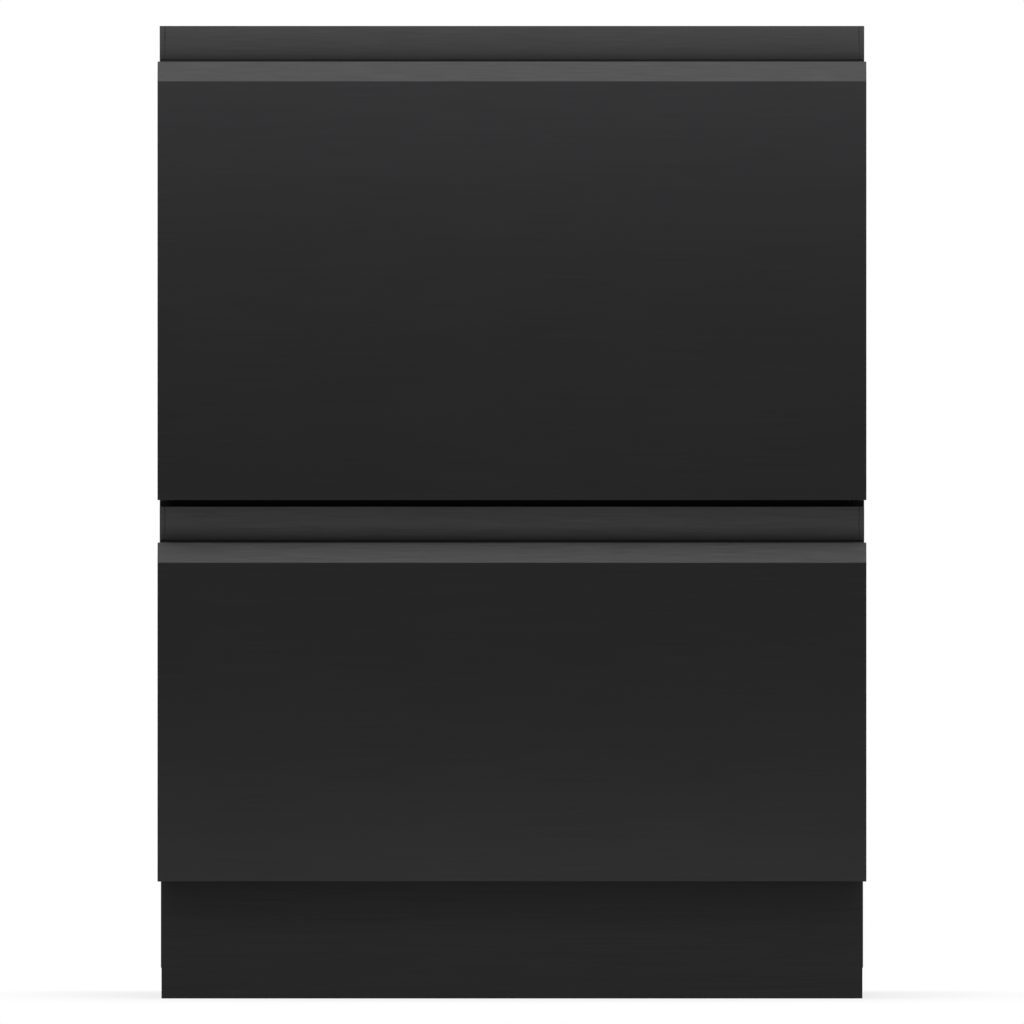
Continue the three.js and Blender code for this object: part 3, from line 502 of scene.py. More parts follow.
# a skin through rings of points, capped at its two ends or joined into a loop
def loft(rings, looped=False):
    count = len(rings[0])
    vertices = [point for ring in rings for point in ring]
    faces = []
    for level in range(len(rings) - (not looped)):
        start, following = level * count, (level + 1) % len(rings) * count
        for i in range(count):
            on = (i + 1) % count
            faces.append((start + i, start + on, following + on, following + i))
    if not looped:
        faces += [tuple(reversed(range(count))), tuple(range(len(vertices) - count, len(vertices)))]
    return vertices, faces


def circle(radius, steps):
    angles = [2 * math.pi * i / steps for i in range(steps)]
    return [(radius * math.cos(angle), radius * math.sin(angle)) for angle in angles]


# a profile of (radius, height) points turned about a line along one axis
def turned(profile, centre, axis="z", steps=32):
    order = {"z": (0, 1, 2), "x": (2, 0, 1), "y": (1, 2, 0)}[axis]
    looped = profile[0] == profile[-1]
    vertices, rings, faces = [], [], []
    for radius, along in profile[:-1] if looped else profile:
        rings.append([len(vertices) + i for i in range(steps if radius else 1)])
        for a, b in circle(radius, steps)[:len(rings[-1])]:
            vertices.append([centre[k] + (a, b, along)[order[k]] for k in range(3)])
    for one, two in zip(rings, rings[1:] + ([rings[0]] if looped else [])):
        for i in range(steps):
            on = i + 1
            face = [one[i % len(one)], one[on % len(one)], two[on % len(two)], two[i % len(two)]]
            faces.append(list(dict.fromkeys(face)))
    if not looped:
        faces += [ring for ring in (rings[0], rings[-1]) if len(ring) > 1]
    return vertices, faces


def rod(radius, low, high, centre, axis="z", steps=32):
    return turned([(0, low), (radius, low), (radius, high), (0, high)], centre, axis, steps)


# a rectangle with round corners, as points (a, b)
def outline(a, b, radius, steps=6):
    corners = [(a[1] - radius, b[1] - radius), (a[0] + radius, b[1] - radius),
               (a[0] + radius, b[0] + radius), (a[1] - radius, b[0] + radius)]
    points = []
    for quarter, (x, y) in enumerate(corners):
        for i in range(steps + 1):
            angle = (quarter + i / steps) * math.pi / 2
            points.append((x + radius * math.cos(angle), y + radius * math.sin(angle)))
    return points


# a plate with round corners and soft edges; its thickness runs along one axis
def plate(a, b, thick, radius, axis="z", soft=0.4, steps=6):
    rings = []
    for inset, t in ((soft, thick[0]), (0, thick[0] + soft), (0, thick[1] - soft), (soft, thick[1])):
        ring = outline(wide(a, -inset), wide(b, -inset), radius, steps)
        rings.append([{"z": (p, q, t), "y": (p, t, q), "x": (t, p, q)}[axis] for p, q in ring])
    return loft(rings)


# a section of (depth behind the face, height below the top) points pulled along X
def alongX(section, x0, x1, top):
    return loft([[(x, frontY + d, top + z) for d, z in section] for x in (x0, x1)])


# a polyline with each corner bent round
def bent(points, bend, steps=5):
    path = [Vector(points[0])]
    for before, corner, after in zip(points, points[1:], points[2:]):
        here = Vector(corner)
        back, on = Vector(before) - here, Vector(after) - here
        reach = min(bend / math.tan(back.angle(on) / 2), 0.49 * back.length, 0.49 * on.length)
        start, end = here + back.normalized() * reach, here + on.normalized() * reach
        for step in range(steps + 1):
            t = step / steps
            path.append(start * (1 - t) ** 2 + here * 2 * t * (1 - t) + end * t * t)
    return path + [Vector(points[-1])]


# round wire along a path, with rounded ends
def wire(path, radius, closed=False, sides=10):
    path = [Vector(point) for point in path]
    if not closed:
        first, last = (path[1] - path[0]).normalized(), (path[-1] - path[-2]).normalized()
        tip = radius * 0.55
        path = [path[0] - first * tip, *path, path[-1] + last * tip]
    rings = []
    side = None
    for i, point in enumerate(path):
        before = path[i - 1] if i or closed else point
        after = path[(i + 1) % len(path)] if i < len(path) - 1 or closed else point
        along = (after - before).normalized()
        if side is None:
            side = along.orthogonal()
        side = (side - along * side.dot(along)).normalized()
        other = along.cross(side)
        size = radius * (1 if closed or 0 < i < len(path) - 1 else 0.6)
        rings.append([point + side * a + other * b for a, b in circle(size, sides)])
    return loft(rings, looped=closed)


# a rib that runs outwards from the wash axis; section gives its (offset, height) points at a reach
def spoke(degrees, reaches, section):
    c, s = math.cos(math.radians(degrees)), math.sin(math.radians(degrees))
    return loft([[(c * r - s * w, washY + s * r + c * w, z) for w, z in section(r)] for r in reaches])


# pan-head screw with a round socket; reach is how far its head stands out, with its sign
def screw(centre, axis, radius, reach):
    profile = [(0, -0.3), (1, -0.3), (1, 0.35), (0.82, 0.8), (0.45, 1), (0.4, 0.35), (0, 0.35)]
    return turned([(r * radius, h * reach) for r, h in profile], centre, axis, 20)


units = {
    "upper": {"top": 822.6, "front": 401.0, "floor": 490.0, "rail": 600.6},
    "lower": {"top": 416.1, "front": 316.8, "floor": 150.5, "rail": 194.1},
}
sides = (("left", -1), ("right", 1))
frontY = cadBox[0].y * 1000
backY = cadBox[1].y * 1000
washY = 17.4

handle = {
    "lip": -30.3,
    "bevel": 17.0,
    "bandLift": 1.7,
    "bandHalf": 293.3,
    "capEnd": 297.9,
    "capProud": 0.15,
    "joint": 0.25,
    "lean": (35.7, 37.9),
    "behind": 38.2,
    "foldRadius": 0.4,
    "screwX": 284,
    "liner": 44,
}


# the band's face leans back more and more towards its foot, as a rolled strip does
def bandSection(proud, foot, steps=8):
    near, far = handle["lean"]
    face = []
    for fall in [i / steps for i in range(steps + 1)]:
        face.append((near + (far - near) * (0.6 * fall + 0.4 * fall ** 2) - proud, foot * fall))
    return face + [(handle["behind"], foot), (handle["behind"], 0)]


def makeFront(unit, size):
    top = size["top"]
    crease = top + handle["lip"] - handle["bevel"]
    foot = handle["lip"] + handle["bandLift"]

    # the up-facing bevel on top of the front skin takes the lighter copy of the brushed steel: painted
    # highlight
    def onBevel(centre, normal):
        return 1 if centre.z > crease - 0.2 and abs(normal.x) < 0.9 else 0

    # below the band's foot the pocket takes the darker, duller black stainless of the toe kick: painted shade
    # in the recess
    def underBand(centre, normal):
        return 0 if centre.z > top + foot + 0.5 else 1

    dressed(f"{unit}_front_panel", f"{unit}_front_skin", ["front", "bevel"], handle["foldRadius"], 4, onBevel)
    dressed(f"{unit}_handle_recess", f"{unit}_handle_pocket", ["trim", "toe"], pick=underBand)
    bands = [("band", 0, (-handle["bandHalf"], handle["bandHalf"]), 0.25)]
    for side, sign in sides:
        ends = sorted((sign * (handle["bandHalf"] + handle["joint"]), sign * handle["capEnd"]))
        bands.append((f"band_cap_{side}", handle["capProud"], ends, 0.3))
    for name, proud, x, edge in bands:
        band = makePiece(f"{unit}_{name}", [alongX(bandSection(proud, foot), *x, top)], "trim")
        settle(roundEdges(band, edge), f"{unit}_drawer", "band_steel")
    screws = [screw((x, frontY + handle["liner"], top + z), "y", 3.6, 1.1)
              for x in (-handle["screwX"], handle["screwX"])
              for z in (-70, 40 - size["front"], -size["front"] / 2)]
    dressed(f"{unit}_front_liner", f"{unit}_front_back", "blackAbs", 0.6, extra=screws)


controls = {
    "half": 250.0,
    "y": (-242.2, -212.2),
    "z": (-32.3, -10.6),
    "buttons": {"power": -216.0, "start": 216.0},
    "buttonFoot": 4.5,
    "lamps": 5,
    "firstLamp": -190.0,
    "pitch": 11.0,
    "window": (-60.0, 60.0),
}


def makeControls(unit, size):
    middle = sum(controls["y"]) / 2
    collar = [(7.5, -0.4), (9.2, -0.4), (9.0, 0.3), (8.4, 0.5), (7.7, 0.3), (7.5, -0.4)]
    lamp = [(0, -0.4), (1.6, -0.4), (1.6, 0.3), (1.0, 0.6), (0, 0.7)]
    button = [(0, 0), (6.6, 0), (7.0, 0.4), (7.0, 4.7), (6.75, 5.2), (6.2, 5.4), (5.2, 5.3), (3.0, 4.85),
              (0, 4.6)]
    low, level = (size["top"] + z for z in controls["z"])
    block = plate((-controls["half"], controls["half"]), controls["y"], (low, level), 3, soft=1.2)
    panel = makePiece(f"{unit}_control_panel", [block], "blackAbs")
    wells = [rod(7.3, -9, 2, (x, middle, level), steps=48) for x in controls["buttons"].values()]
    standFor(cutOut(panel, wells), f"{unit}_control_strip")
    trims = {
        "button_collars": ("cap", [turned(collar, (x, middle, level), steps=48)
                                   for x in controls["buttons"].values()]),
        "display_window": ("lens", [plate(controls["window"], around(middle, 6),
                                          (level - 0.4, level + 0.5), 3)]),
        "status_lamps": ("lens", [turned(lamp, (controls["firstLamp"] + i * controls["pitch"], middle, level),
                                         steps=20) for i in range(controls["lamps"])]),
    }
    for name, (look, parts) in trims.items():
        settle(makePiece(f"{unit}_{name}", parts, look), f"{unit}_drawer", "black_moulding")
    for name, x in controls["buttons"].items():
        cap = turned(button, (x, middle, level - controls["buttonFoot"]), steps=48)
        standFor(makePiece(f"{unit}_{name}_cap", [cap], "cap"), f"{unit}_{name}_button")


tub = {
    "half": 262.0,
    "front": -203.2,
    "back": 238.0,
    "wall": 3.0,
    "draft": 4.0,
    "corner": 36.0,
    "fillet": 14.0,
    "drop": 32.6,
    "rim": 4.0,
    "rimHalf": 274.0,
    "rimY": (-242.2, 250.0),
    "rimCorner": 12.0,
    "neck": 32.0,
    "window": ((-62.3, 62.3), (-209.2, -200.2), (-130.9, -66.3)),
    "railFlange": 282.7,
    "railY": (-167.2, 202.0),
    "ribs": (-140, -85, -30, 25, 80, 135, 190),
    "frontRibs": ((60, 1.3, 28), (180, 4, 190), (240, 1.3, 28)),  # place, half width, drop
    "frontRibY": (-242.2, -204.7),
    "bands": (0.36, 0.62),
    "floorRibs": (84, 190),
}


def tubRing(z, lean, out, radius):
    x = wide((-tub["half"], tub["half"]), out - lean)
    y = (tub["front"] - out, tub["back"] - lean + out)
    return [(a, b, z) for a, b in outline(x, y, radius, 10)]


def rimRing(z, out=0.0):
    half = tub["rimHalf"] + out
    return [(a, b, z) for a, b in outline((-half, half), wide(tub["rimY"], out), tub["rimCorner"], 10)]


def tubShell(size):
    rim, floor, wall, lean = size["top"] - tub["drop"], size["floor"], tub["wall"], tub["draft"]
    quarter = [math.radians(15 * i) for i in range(7)]
    outer, inner = tub["fillet"] + wall, tub["corner"] - wall
    rings = [tubRing(floor - wall + outer * (1 - math.cos(a)), lean, wall - outer * (1 - math.sin(a)),
                     tub["corner"] - outer * (1 - math.sin(a))) for a in quarter]
    rings.append(tubRing(rim - tub["rim"], 0, wall, tub["corner"]))
    # the rim has a groove all round for the seal of the lid
    for drop, out in ((tub["rim"], 0), (0.6, 0), (0, -0.6), (0, -3.5), (0.7, -4.4), (0.7, -6.6), (0, -7.5)):
        rings.append(rimRing(rim - drop, out))
    for drop, out in ((0, 1.2), (0.4, 0.35), (1.2, 0)):
        rings.append(tubRing(rim - drop, 0, out, inner))
    fall = rim - floor - tub["fillet"]
    for drop, out in ((18, 0), (19.2, -1.1), (22.4, -1.1), (23.6, 0)):  # a moulded bead that turns drips back
        rings.append(tubRing(rim - drop, lean * drop / fall, out, inner))
    rings += [tubRing(floor + tub["fillet"] * (1 - math.cos(a)), lean, -tub["fillet"] * (1 - math.sin(a)),
                      inner - tub["fillet"] * (1 - math.sin(a))) for a in reversed(quarter)]
    return loft(rings)


# gussets from the rim to the flange that the runner is screwed to, and ribs on the front wall
def wallRibs(rim, rail):
    ribs = []
    for _, sign in sides:
        high = sign * (tub["half"] + 1)
        low = sign * (tub["half"] - tub["draft"] / 2 + 1)
        ribs.append(slab(sorted((low, sign * tub["railFlange"])), tub["railY"], around(rail, 13)))
        gusset = ((high, rim - 3), (sign * 272.4, rim - 3), (sign * 272.4, rim - 9), (sign * 267.5, rim - 26),
                  (sign * 266, rail + 15), (sign * 279, rail + 12.5), (low, rail + 12.5))
        for y in tub["ribs"]:
            ribs.append(loft([[(x, at, z) for x, z in gusset] for at in around(y, 1.2)]))
        for x, half, drop in tub["frontRibs"]:
            ribs.append(slab(around(sign * x, half), tub["frontRibY"], (rim - drop, rim - 2)))
    return ribs


def makeTub(unit, size):
    top, floor, rail = size["top"], size["floor"], size["rail"]
    rim = top - tub["drop"]
    x, y, drops = tub["window"]
    holes = [rod(tub["neck"], -8, 8, (0, washY, floor), steps=64), slab(x, y, [top + z for z in drops])]
    ribs = wallRibs(rim, rail)
    for level in tub["bands"]:  # stiffening bands round the outside
        z = floor + 17 + (rim - floor - 21) * level
        if abs(z - rail) > 22:
            lean = tub["draft"] * (1 - level)
            rings = [tubRing(z + rise, lean, out, tub["corner"] + out - 3) for rise, out in
                     ((-2, 2.5), (-2, 5), (-1.4, 5.6), (1.4, 5.6), (2, 5), (2, 2.5))]
            ribs.append(loft(rings, looped=True))
    under = ((-1.2, floor - 2), (1.2, floor - 2), (0.8, floor - 7.5), (-0.8, floor - 7.5))
    for degrees in range(15, 360, 30):  # ribs under the floor, outside the wash motor
        ribs.append(spoke(degrees, tub["floorRibs"], lambda r: under))
    standFor(cutOut(makePiece(f"{unit}_tub_moulding", [tubShell(size)], "tub"), holes), f"{unit}_tub")
    settle(roundEdges(makePiece(f"{unit}_tub_ribs", ribs, "tub"), 0.5), f"{unit}_drawer", "tub_moulding")


dispenser = {
    "half": 62.0,
    "bezel": 67.0,
    "drop": (-130.6, -66.6),
    "face": -199.9,
    "deep": 30,
    "cup": (-59, -3),
    "capAt": (31.0, -98.6),
    "capRadius": 19.0,
    "doorX": (-61, -1),
    "doorDrop": (-133.3, -63.9),
    "doorPanel": (-56, -20),
    "grips": (-17.5, -14.9, -5.1, -2.5),
    "thumb": (-13, -7),
}


def makeDispenser(unit, size):
    face, (capX, capDrop) = dispenser["face"], dispenser["capAt"]
    top = size["top"]
    z = [top + drop for drop in dispenser["drop"]]
    bezelZ = wide(z, 5)
    at = (capX, face, top + capDrop)
    cup = plate(dispenser["cup"], wide(z, -3), (face - 27, face + 3), 6, "y", soft=2)
    well = rod(dispenser["capRadius"], -5, 5, at, "y", 48)
    block = slab(around(0, dispenser["half"]), (face - dispenser["deep"], face - 1), z)
    body = cutOut(makePiece(f"{unit}_dispenser_block", [block], "pale"), [cup, well])
    standFor(roundEdges(body, 0.4), f"{unit}_dispenser")
    sheet = plate(around(0, dispenser["bezel"]), bezelZ, (face - 3, face), 5, "y")
    bezel = cutOut(makePiece(f"{unit}_dispenser_bezel", [sheet], "pale"), [cup, well])
    settle(bezel, f"{unit}_drawer", "pale_moulding")
    ledges = makePiece(f"{unit}_dispenser_ledges", [
        slab(around(0, dispenser["bezel"] - 4), (face - 1, face + 2.8), edge)
        for edge in ((bezelZ[1] - 2, bezelZ[1]), (bezelZ[0], bezelZ[0] + 2))
    ], "pale")
    settle(roundEdges(ledges, 0.5), f"{unit}_drawer", "pale_moulding")
    radius = dispenser["capRadius"] - 0.8
    cap = [turned([(0, -4.6), (radius, -4.6), (radius, -1.2), (radius - 0.8, -0.5), (radius - 4, -0.5),
                   (radius - 5, -2.6), (0, -2.6)], at, "y", 48)]
    cap.append(plate(around(capX, radius - 6), around(at[2], 2.2), (face - 3, face - 0.6), 1.7, "y"))
    dot = [(0, -1), (0.9, -1), (0.9, -0.25), (0.5, -0.1), (0, -0.1)]
    for x, rise in circle(radius - 2.4, 12):
        cap.append(turned(dot, (capX + x, face, at[2] + rise), "y", 12))
    settle(makePiece(f"{unit}_rinse_aid_cap", cap, "tub"), f"{unit}_drawer", "pale_moulding")
    doorZ = [top + drop for drop in dispenser["doorDrop"]]
    middle = sum(doorZ) / 2
    near, far = face + 0.3, face + 2.8
    door = [
        plate(dispenser["doorX"], doorZ, (near, far), 2.5, "y", soft=0.5),
        plate(dispenser["doorPanel"], wide(doorZ, -6), (far - 0.3, far + 0.7), 4, "y", soft=0.6),
        *[plate(around(x, 0.7), around(middle, 12), (far - 0.3, far + 0.9), 0.35, "y", soft=0.3, steps=3)
          for x in dispenser["grips"]],
        plate(dispenser["thumb"], around(middle, 10), (near + 0.5, far + 3), 2.0, "y", soft=0.9),
    ]
    standFor(makePiece(f"{unit}_dispenser_shutter", door, "tub"), f"{unit}_dispenser_door")


sprayArm = {
    "length": 200.0,
    "rise": 9.0,
    "hub": 18.0,
    "thick": (11.0, 8.0),
    "stations": (  # reach, width, shift
        (0, 49, 0), (60, 42, -2.5), (105, 35, -2.5), (150, 33, -1.5), (180, 30, 0), (192, 25, 0),
        (197.5, 16, 0), (200, 7, 0),
    ),
    "nozzles": (38, 62, 88, 112, 138, 162, 184),
}


def bladeRings(middle):
    tallest, lowest = sprayArm["thick"]
    rings = []
    stations = [(-x, width, -shift) for x, width, shift in reversed(sprayArm["stations"][1:])]
    for x, width, shift in [*stations, *sprayArm["stations"]]:
        share = abs(x) / sprayArm["length"]
        tall = (tallest * (1 - share) + lowest * share) / 2
        if width < 20:
            tall *= width / 22
        rings.append([(x, washY + shift + width / 2 * math.copysign(abs(c) ** 0.75, c),
                       middle + tall * math.copysign(abs(s) ** 0.62, s)) for c, s in circle(1, 24)])
    return rings


def makeArm(unit, size):
    nozzle = [(1.3, -0.6), (5, -0.6), (4.6, 0.3), (3.2, 1.2), (1.9, 1.4), (1.3, 1.1), (1.3, -0.6)]
    foot = size["floor"] + sprayArm["rise"]
    top = foot + sprayArm["hub"]
    middle = foot + sprayArm["hub"] / 2
    parts = [loft(bladeRings(middle))]
    for index, reach in enumerate(sprayArm["nozzles"]):
        tall = middle + (sprayArm["thick"][0] - 3 * reach / sprayArm["length"]) / 2
        for _, sign in sides:
            across = washY + sign * (-1.5 + (5 if index % 2 else -5))
            parts.append(turned(nozzle, (sign * reach, across, tall - 0.2), steps=24))
    parts.append(turned([(6.5, foot), (17, foot), (19.2, foot + 1), (20, foot + 3), (20, top - 3.5),
                         (18.6, top - 1.6), (15.5, top - 0.6), (12, top - 0.4), (11.4, top), (6.5, top),
                         (6.5, foot)], (0, washY, 0), steps=48))

    def rib(r):
        slope = top - 0.9 - (r - 13) * 0.35
        return (-0.8, top - 4), (0.8, top - 4), (0.8, slope), (-0.8, slope)

    parts += [spoke(45 * i, (13, 18.2), rib) for i in range(8)]
    standFor(makePiece(f"{unit}_spray_rotor", parts, "pale"), f"{unit}_spray_arm")


def makeMotor(unit, size):
    floor = size["floor"]
    seat = floor - 3.3
    foot = seat - 34
    hubTop = floor + sprayArm["rise"] + sprayArm["hub"]
    housing = [(0, foot - 4), (52, foot - 4), (56, foot - 3), (58, foot), (72, foot), (76.5, foot + 1.5),
               (78, foot + 5), (78, foot + 8), (76.4, foot + 9), (76.4, foot + 14), (78, foot + 15),
               (78, seat - 6), (76, seat - 2), (73, seat), (31.7, seat), (31.7, floor + 4.6),
               (30.6, floor + 6), (22, floor + 6), (20, floor + 6.6), (20, floor + 8.2),
               (19.4, floor + 8.6), (6, floor + 8.6), (6, hubTop + 0.4), (9.2, hubTop + 0.4),
               (10, hubTop + 1), (10, hubTop + 2.6), (9, hubTop + 3.6), (7.2, hubTop + 3.9),
               (0, hubTop + 3.9)]
    fin = ((-1, foot + 14), (1, foot + 14), (1, seat - 7), (-1, seat - 7))
    parts = [turned(housing, (0, washY, 0), steps=64)]
    parts += [spoke(15 * i, (74, 78), lambda r: fin) for i in range(24)]
    for x, y in circle(9.4, 12):  # grip round the knob on the spindle
        parts.append(rod(1.1, hubTop + 0.8, hubTop + 3.2, (x, washY + y, 0), steps=10))
    standFor(makePiece(f"{unit}_wash_pump", parts, "blackAbs"), f"{unit}_wash_motor")


filterPlate = {
    "cells": 192,
    "lift": 0.3,
    "rings": (  # radius, height of the upper face, and whether every other cell is open beyond it
        (32.0, 4.0, False), (36.7, 4.0, False), (41.7, 2.0, False), (43.5, 2.0, True), (48.5, 2.0, False),
        (50.0, 2.0, True), (55.0, 2.0, False), (56.5, 2.0, True), (61.0, 2.2, False), (67.0, 4.0, False),
        (70.0, 3.8, True), (79.0, 3.1, False), (81.5, 3.0, True), (91.0, 2.3, False), (94.0, 2.1, False),
        (104.2, 1.5, False), (105.0, 1.0, False),
    ),
}


# a turned plate with real openings: each open cell loses its faces and gets side walls
def slottedPlate(floor):
    cells, rings = filterPlate["cells"], filterPlate["rings"]
    vertices, faces = [], []
    for radius, height, _ in rings:
        for z in (floor, floor + height):
            vertices += [(x, washY + y, z) for x, y in circle(radius, cells)]

    def addFace(*corners):
        faces.append([(2 * ring + level) * cells + i % cells for ring, level, i in corners])

    def isOpen(ring, i):
        return rings[ring][2] and i % 2 == 0

    for ring in range(len(rings) - 1):
        out = ring + 1
        for i in range(cells):
            if isOpen(ring, i):
                continue
            for level in (0, 1):
                addFace((ring, level, i), (out, level, i), (out, level, i + 1), (ring, level, i + 1))
            for at, beyond in ((i, i - 1), (i + 1, i + 1)):
                if isOpen(ring, beyond):
                    addFace((ring, 0, at), (out, 0, at), (out, 1, at), (ring, 1, at))
            for edge, bare in ((ring, ring == 0 or isOpen(ring - 1, i)),
                               (out, out == len(rings) - 1 or isOpen(out, i))):
                if bare:
                    addFace((edge, 0, i), (edge, 1, i), (edge, 1, i + 1), (edge, 0, i + 1))
    return vertices, faces


def makeFilter(unit, size):
    grille = makePiece(f"{unit}_filter_grille", [slottedPlate(size["floor"] + filterPlate["lift"])], "tub")
    standFor(grille, f"{unit}_filter_plate")


basket = {
    "x": (-243.0, 243.0),
    "y": (-182.1, 219.0),
    "lift": 40.0,
    "drop": 92.6,
    "rimWire": 2.2,
    "ringWire": 1.6,
    "crossWire": 1.4,
    "across": 17,
    "along": 13,
    "corner": 26.0,
    "bend": 12.0,
    "tineRow": 104.4,
    "tineHeight": 52.0,
    "tineWire": 1.8,
    "tines": 10,
    "legX": (-189, 189),
    "legY": (-124.8, 161.7),
    "foldY": -67.5,
    "foldLift": 44.3,
    "foldTine": 62.0,
    "foldRod": 2.0,
    "foldWire": 1.5,
    "clips": (-176.7, -88.4, 0.0, 88.4, 176.7),
    "clipHalf": 4.5,
}


def evenly(span, count):
    return [span[0] + (span[1] - span[0]) * (i + 1) / (count + 1) for i in range(count)]


def basketLoop(z, by=0.0):
    x, y = wide(basket["x"], by), wide(basket["y"], by)
    return [(a, b, z) for a, b in outline(x, y, basket["corner"] + by, 8)]


def basketWires(foot, rim):
    x, y = basket["x"], basket["y"]
    parts = [wire(basketLoop(rim), basket["rimWire"], closed=True, sides=12)]
    for z in (rim - 18, (rim + foot) / 2, foot + 14):
        parts.append(wire(basketLoop(z, 0.6), basket["ringWire"], closed=True))
    paths = [[(at, y[0], rim), (at, y[0], foot - 1.9), (at, y[1], foot - 1.9), (at, y[1], rim)]
             for at in evenly(x, basket["across"])]
    paths += [[(x[0], at, rim), (x[0], at, foot + 0.5), (x[1], at, foot + 0.5), (x[1], at, rim)]
              for at in evenly(y, basket["along"])]
    parts += [wire(bent(path, basket["bend"]), basket["crossWire"]) for path in paths]
    row, thick = basket["tineRow"], basket["tineWire"]
    parts.append(wire([(x[0] + 4, row, foot + 2.6), (x[1] - 4, row, foot + 2.6)], thick))
    for at in evenly(x, basket["tines"]):
        tine = [(at, row + 1.5, foot - 1), (at, row + 1.5, foot + basket["tineHeight"] + 1)]
        parts.append(wire(tine, thick, sides=12))
    return parts


# four feet under the basket, and the open clips that hold the rod of the folding tines
def feetAndClips(floor, foot, rodZ):
    leg = [(0, floor + 0.3), (3.4, floor + 0.5), (4.6, floor + 1.6), (4.6, floor + 5), (3, floor + 8),
           (2.6, foot - 5), (4, foot - 2), (4, foot + 3), (3, foot + 4), (0, foot + 4)]
    parts = [turned(leg, (x, y, 0), steps=24) for x in basket["legX"] for y in basket["legY"]]
    bend = [math.radians(a) for a in range(-60, 241, 20)]
    hook = [(4.4 * math.cos(a), 4.4 * math.sin(a)) for a in bend]
    hook += [(2.35 * math.cos(a), 2.35 * math.sin(a)) for a in reversed(bend)]
    for at in basket["clips"]:
        x = around(at, basket["clipHalf"])
        parts.append(loft([[(end, basket["foldY"] + a, rodZ + b) for a, b in hook] for end in x]))
        parts.append(slab(x, around(basket["foldY"], 5.5), (foot - 3.8, rodZ - 3.2)))
    return parts


def makeBasket(unit, size):
    x, foldY = basket["x"], basket["foldY"]
    floor = size["floor"]
    foot = floor + basket["lift"]
    rodZ = floor + basket["foldLift"]
    wires = basketWires(foot, size["top"] - basket["drop"])
    standFor(makePiece(f"{unit}_wire_basket", wires, "wire"), f"{unit}_basket")
    legs = makePiece(f"{unit}_basket_feet_and_clips", feetAndClips(floor, foot, rodZ), "tub")
    settle(roundEdges(legs, 0.4), f"{unit}_drawer", "tub_moulding")
    rack = [wire([(x[0] + 5, foldY, rodZ), (x[1] - 5, foldY, rodZ)], basket["foldRod"], sides=16)]
    for at in evenly(x, basket["tines"]):
        tine = [(at, foldY - 0.5, rodZ), (at, foldY + basket["foldTine"], rodZ)]
        rack.append(wire(tine, basket["foldWire"], sides=12))
    standFor(makePiece(f"{unit}_folding_rack", rack, "wire"), f"{unit}_fold_down_tines")


runner = {
    "edge": 0.35,
    "slots": {"at": 283.5, "radius": 2.6, "y": (-210, -150, 20, 190, 250), "z": (-8, 8)},
    "holes": {"at": 294, "radius": 3, "y": (-205, -60, 90, 245), "z": (0,)},
}


# punched holes straight through the web of a rail
def railHoles(kind, sign, rail):
    holes = runner[kind]
    return [rod(holes["radius"], -4, 4, (sign * holes["at"], y, rail + z), "x", 24)
            for y in holes["y"] for z in holes["z"]]


def makeRunners(unit, size):
    for side, sign in sides:
        for node, name, holes in (
            ("inner_rail", "inner_runner", railHoles("slots", sign, size["rail"])),
            ("mid_rail", "middle_runner", railHoles("holes", sign, size["rail"])),
            ("fixed_rail", "fixed_runner", ()),
        ):
            dressed(f"{unit}_{node}_{side}", f"{unit}_{name}_{side}", "zinc", runner["edge"], holes=holes)


lid = {"x": (-268.0, 268.0), "y": (-209.2, 244.0), "sealLift": 8.4, "sealCorner": 12.0}


def makeLid(unit, size):
    section = [(0.6, 0), (0, 0.8), (0, 5.4), (0.6, 6), (7, 6), (7.6, 5.4), (7.6, 4.4), (5.4, 3.9), (6.6, 2.6),
               (6.8, 1.4), (6, 0.3), (4.6, 0), (3.6, 0.6), (3.4, 2), (2.6, 2), (2.4, 0.6)]
    dressed(f"{unit}_lid", f"{unit}_lid_moulding", "pale", 0.8, 3)
    foot = size["top"] - tub["drop"] + lid["sealLift"]
    rings = []
    for inset, rise in section:
        ring = outline(wide(lid["x"], -inset), wide(lid["y"], -inset), lid["sealCorner"] - inset, 8)
        rings.append([(a, b, foot + rise) for a, b in ring])
    gasket = makePiece(f"{unit}_lid_gasket", [loft(rings, looped=True)], "rubber", smooth=50)
    standFor(gasket, f"{unit}_lid_seal")
    for side, _ in sides:
        dressed(f"{unit}_lid_guide_{side}", f"{unit}_lid_track_{side}", "blackAbs", 0.5)


levelling = {
    "x": 257.0,
    "rows": {"front": -185.2, "back": 240.2},
    "stem": 5.0,
    "stemTop": 95.0,
    "pitch": 1.75,
    "thread": 0.7,
}


def makeFeet():
    outer, pitch, top = levelling["stem"], levelling["pitch"], levelling["stemTop"]
    root = outer - levelling["thread"]
    pad = [(0, 0), (16.5, 0), (17.5, 0.4), (19.4, 1.6), (20, 2.6), (20, 4.8), (19, 6.2), (16, 7.2), (11, 8),
           (0, 8)]
    hexagon = [(0, 7.5), (9, 7.5), (9, 15.4), (8.2, 16), (0, 16)]
    stem = [(0, 15)]
    z = 15.0
    while z + pitch < top:
        stem += [(root, z), (outer, z + pitch * 0.4), (outer, z + pitch * 0.6)]
        z += pitch
    stem += [(root, z), (outer - 1.2, top), (0, top)]
    for row, y in levelling["rows"].items():
        for side, sign in sides:
            parts = [turned(profile, (sign * levelling["x"], y, 0), steps=steps)
                     for profile, steps in ((pad, 48), (hexagon, 6), (stem, 24))]
            piece = makePiece(f"{row}_{side}_levelling_foot", parts, "blackAbs", smooth=40)
            standFor(roundEdges(piece, 0.2, 1, 50), f"{row}_{side}_foot")


valve = {"x": -200.0, "z": 79.3, "y": (224.5, 268.5), "seat": 29.6, "thread": 12.9, "pitch": 1.8, "bore": 8}


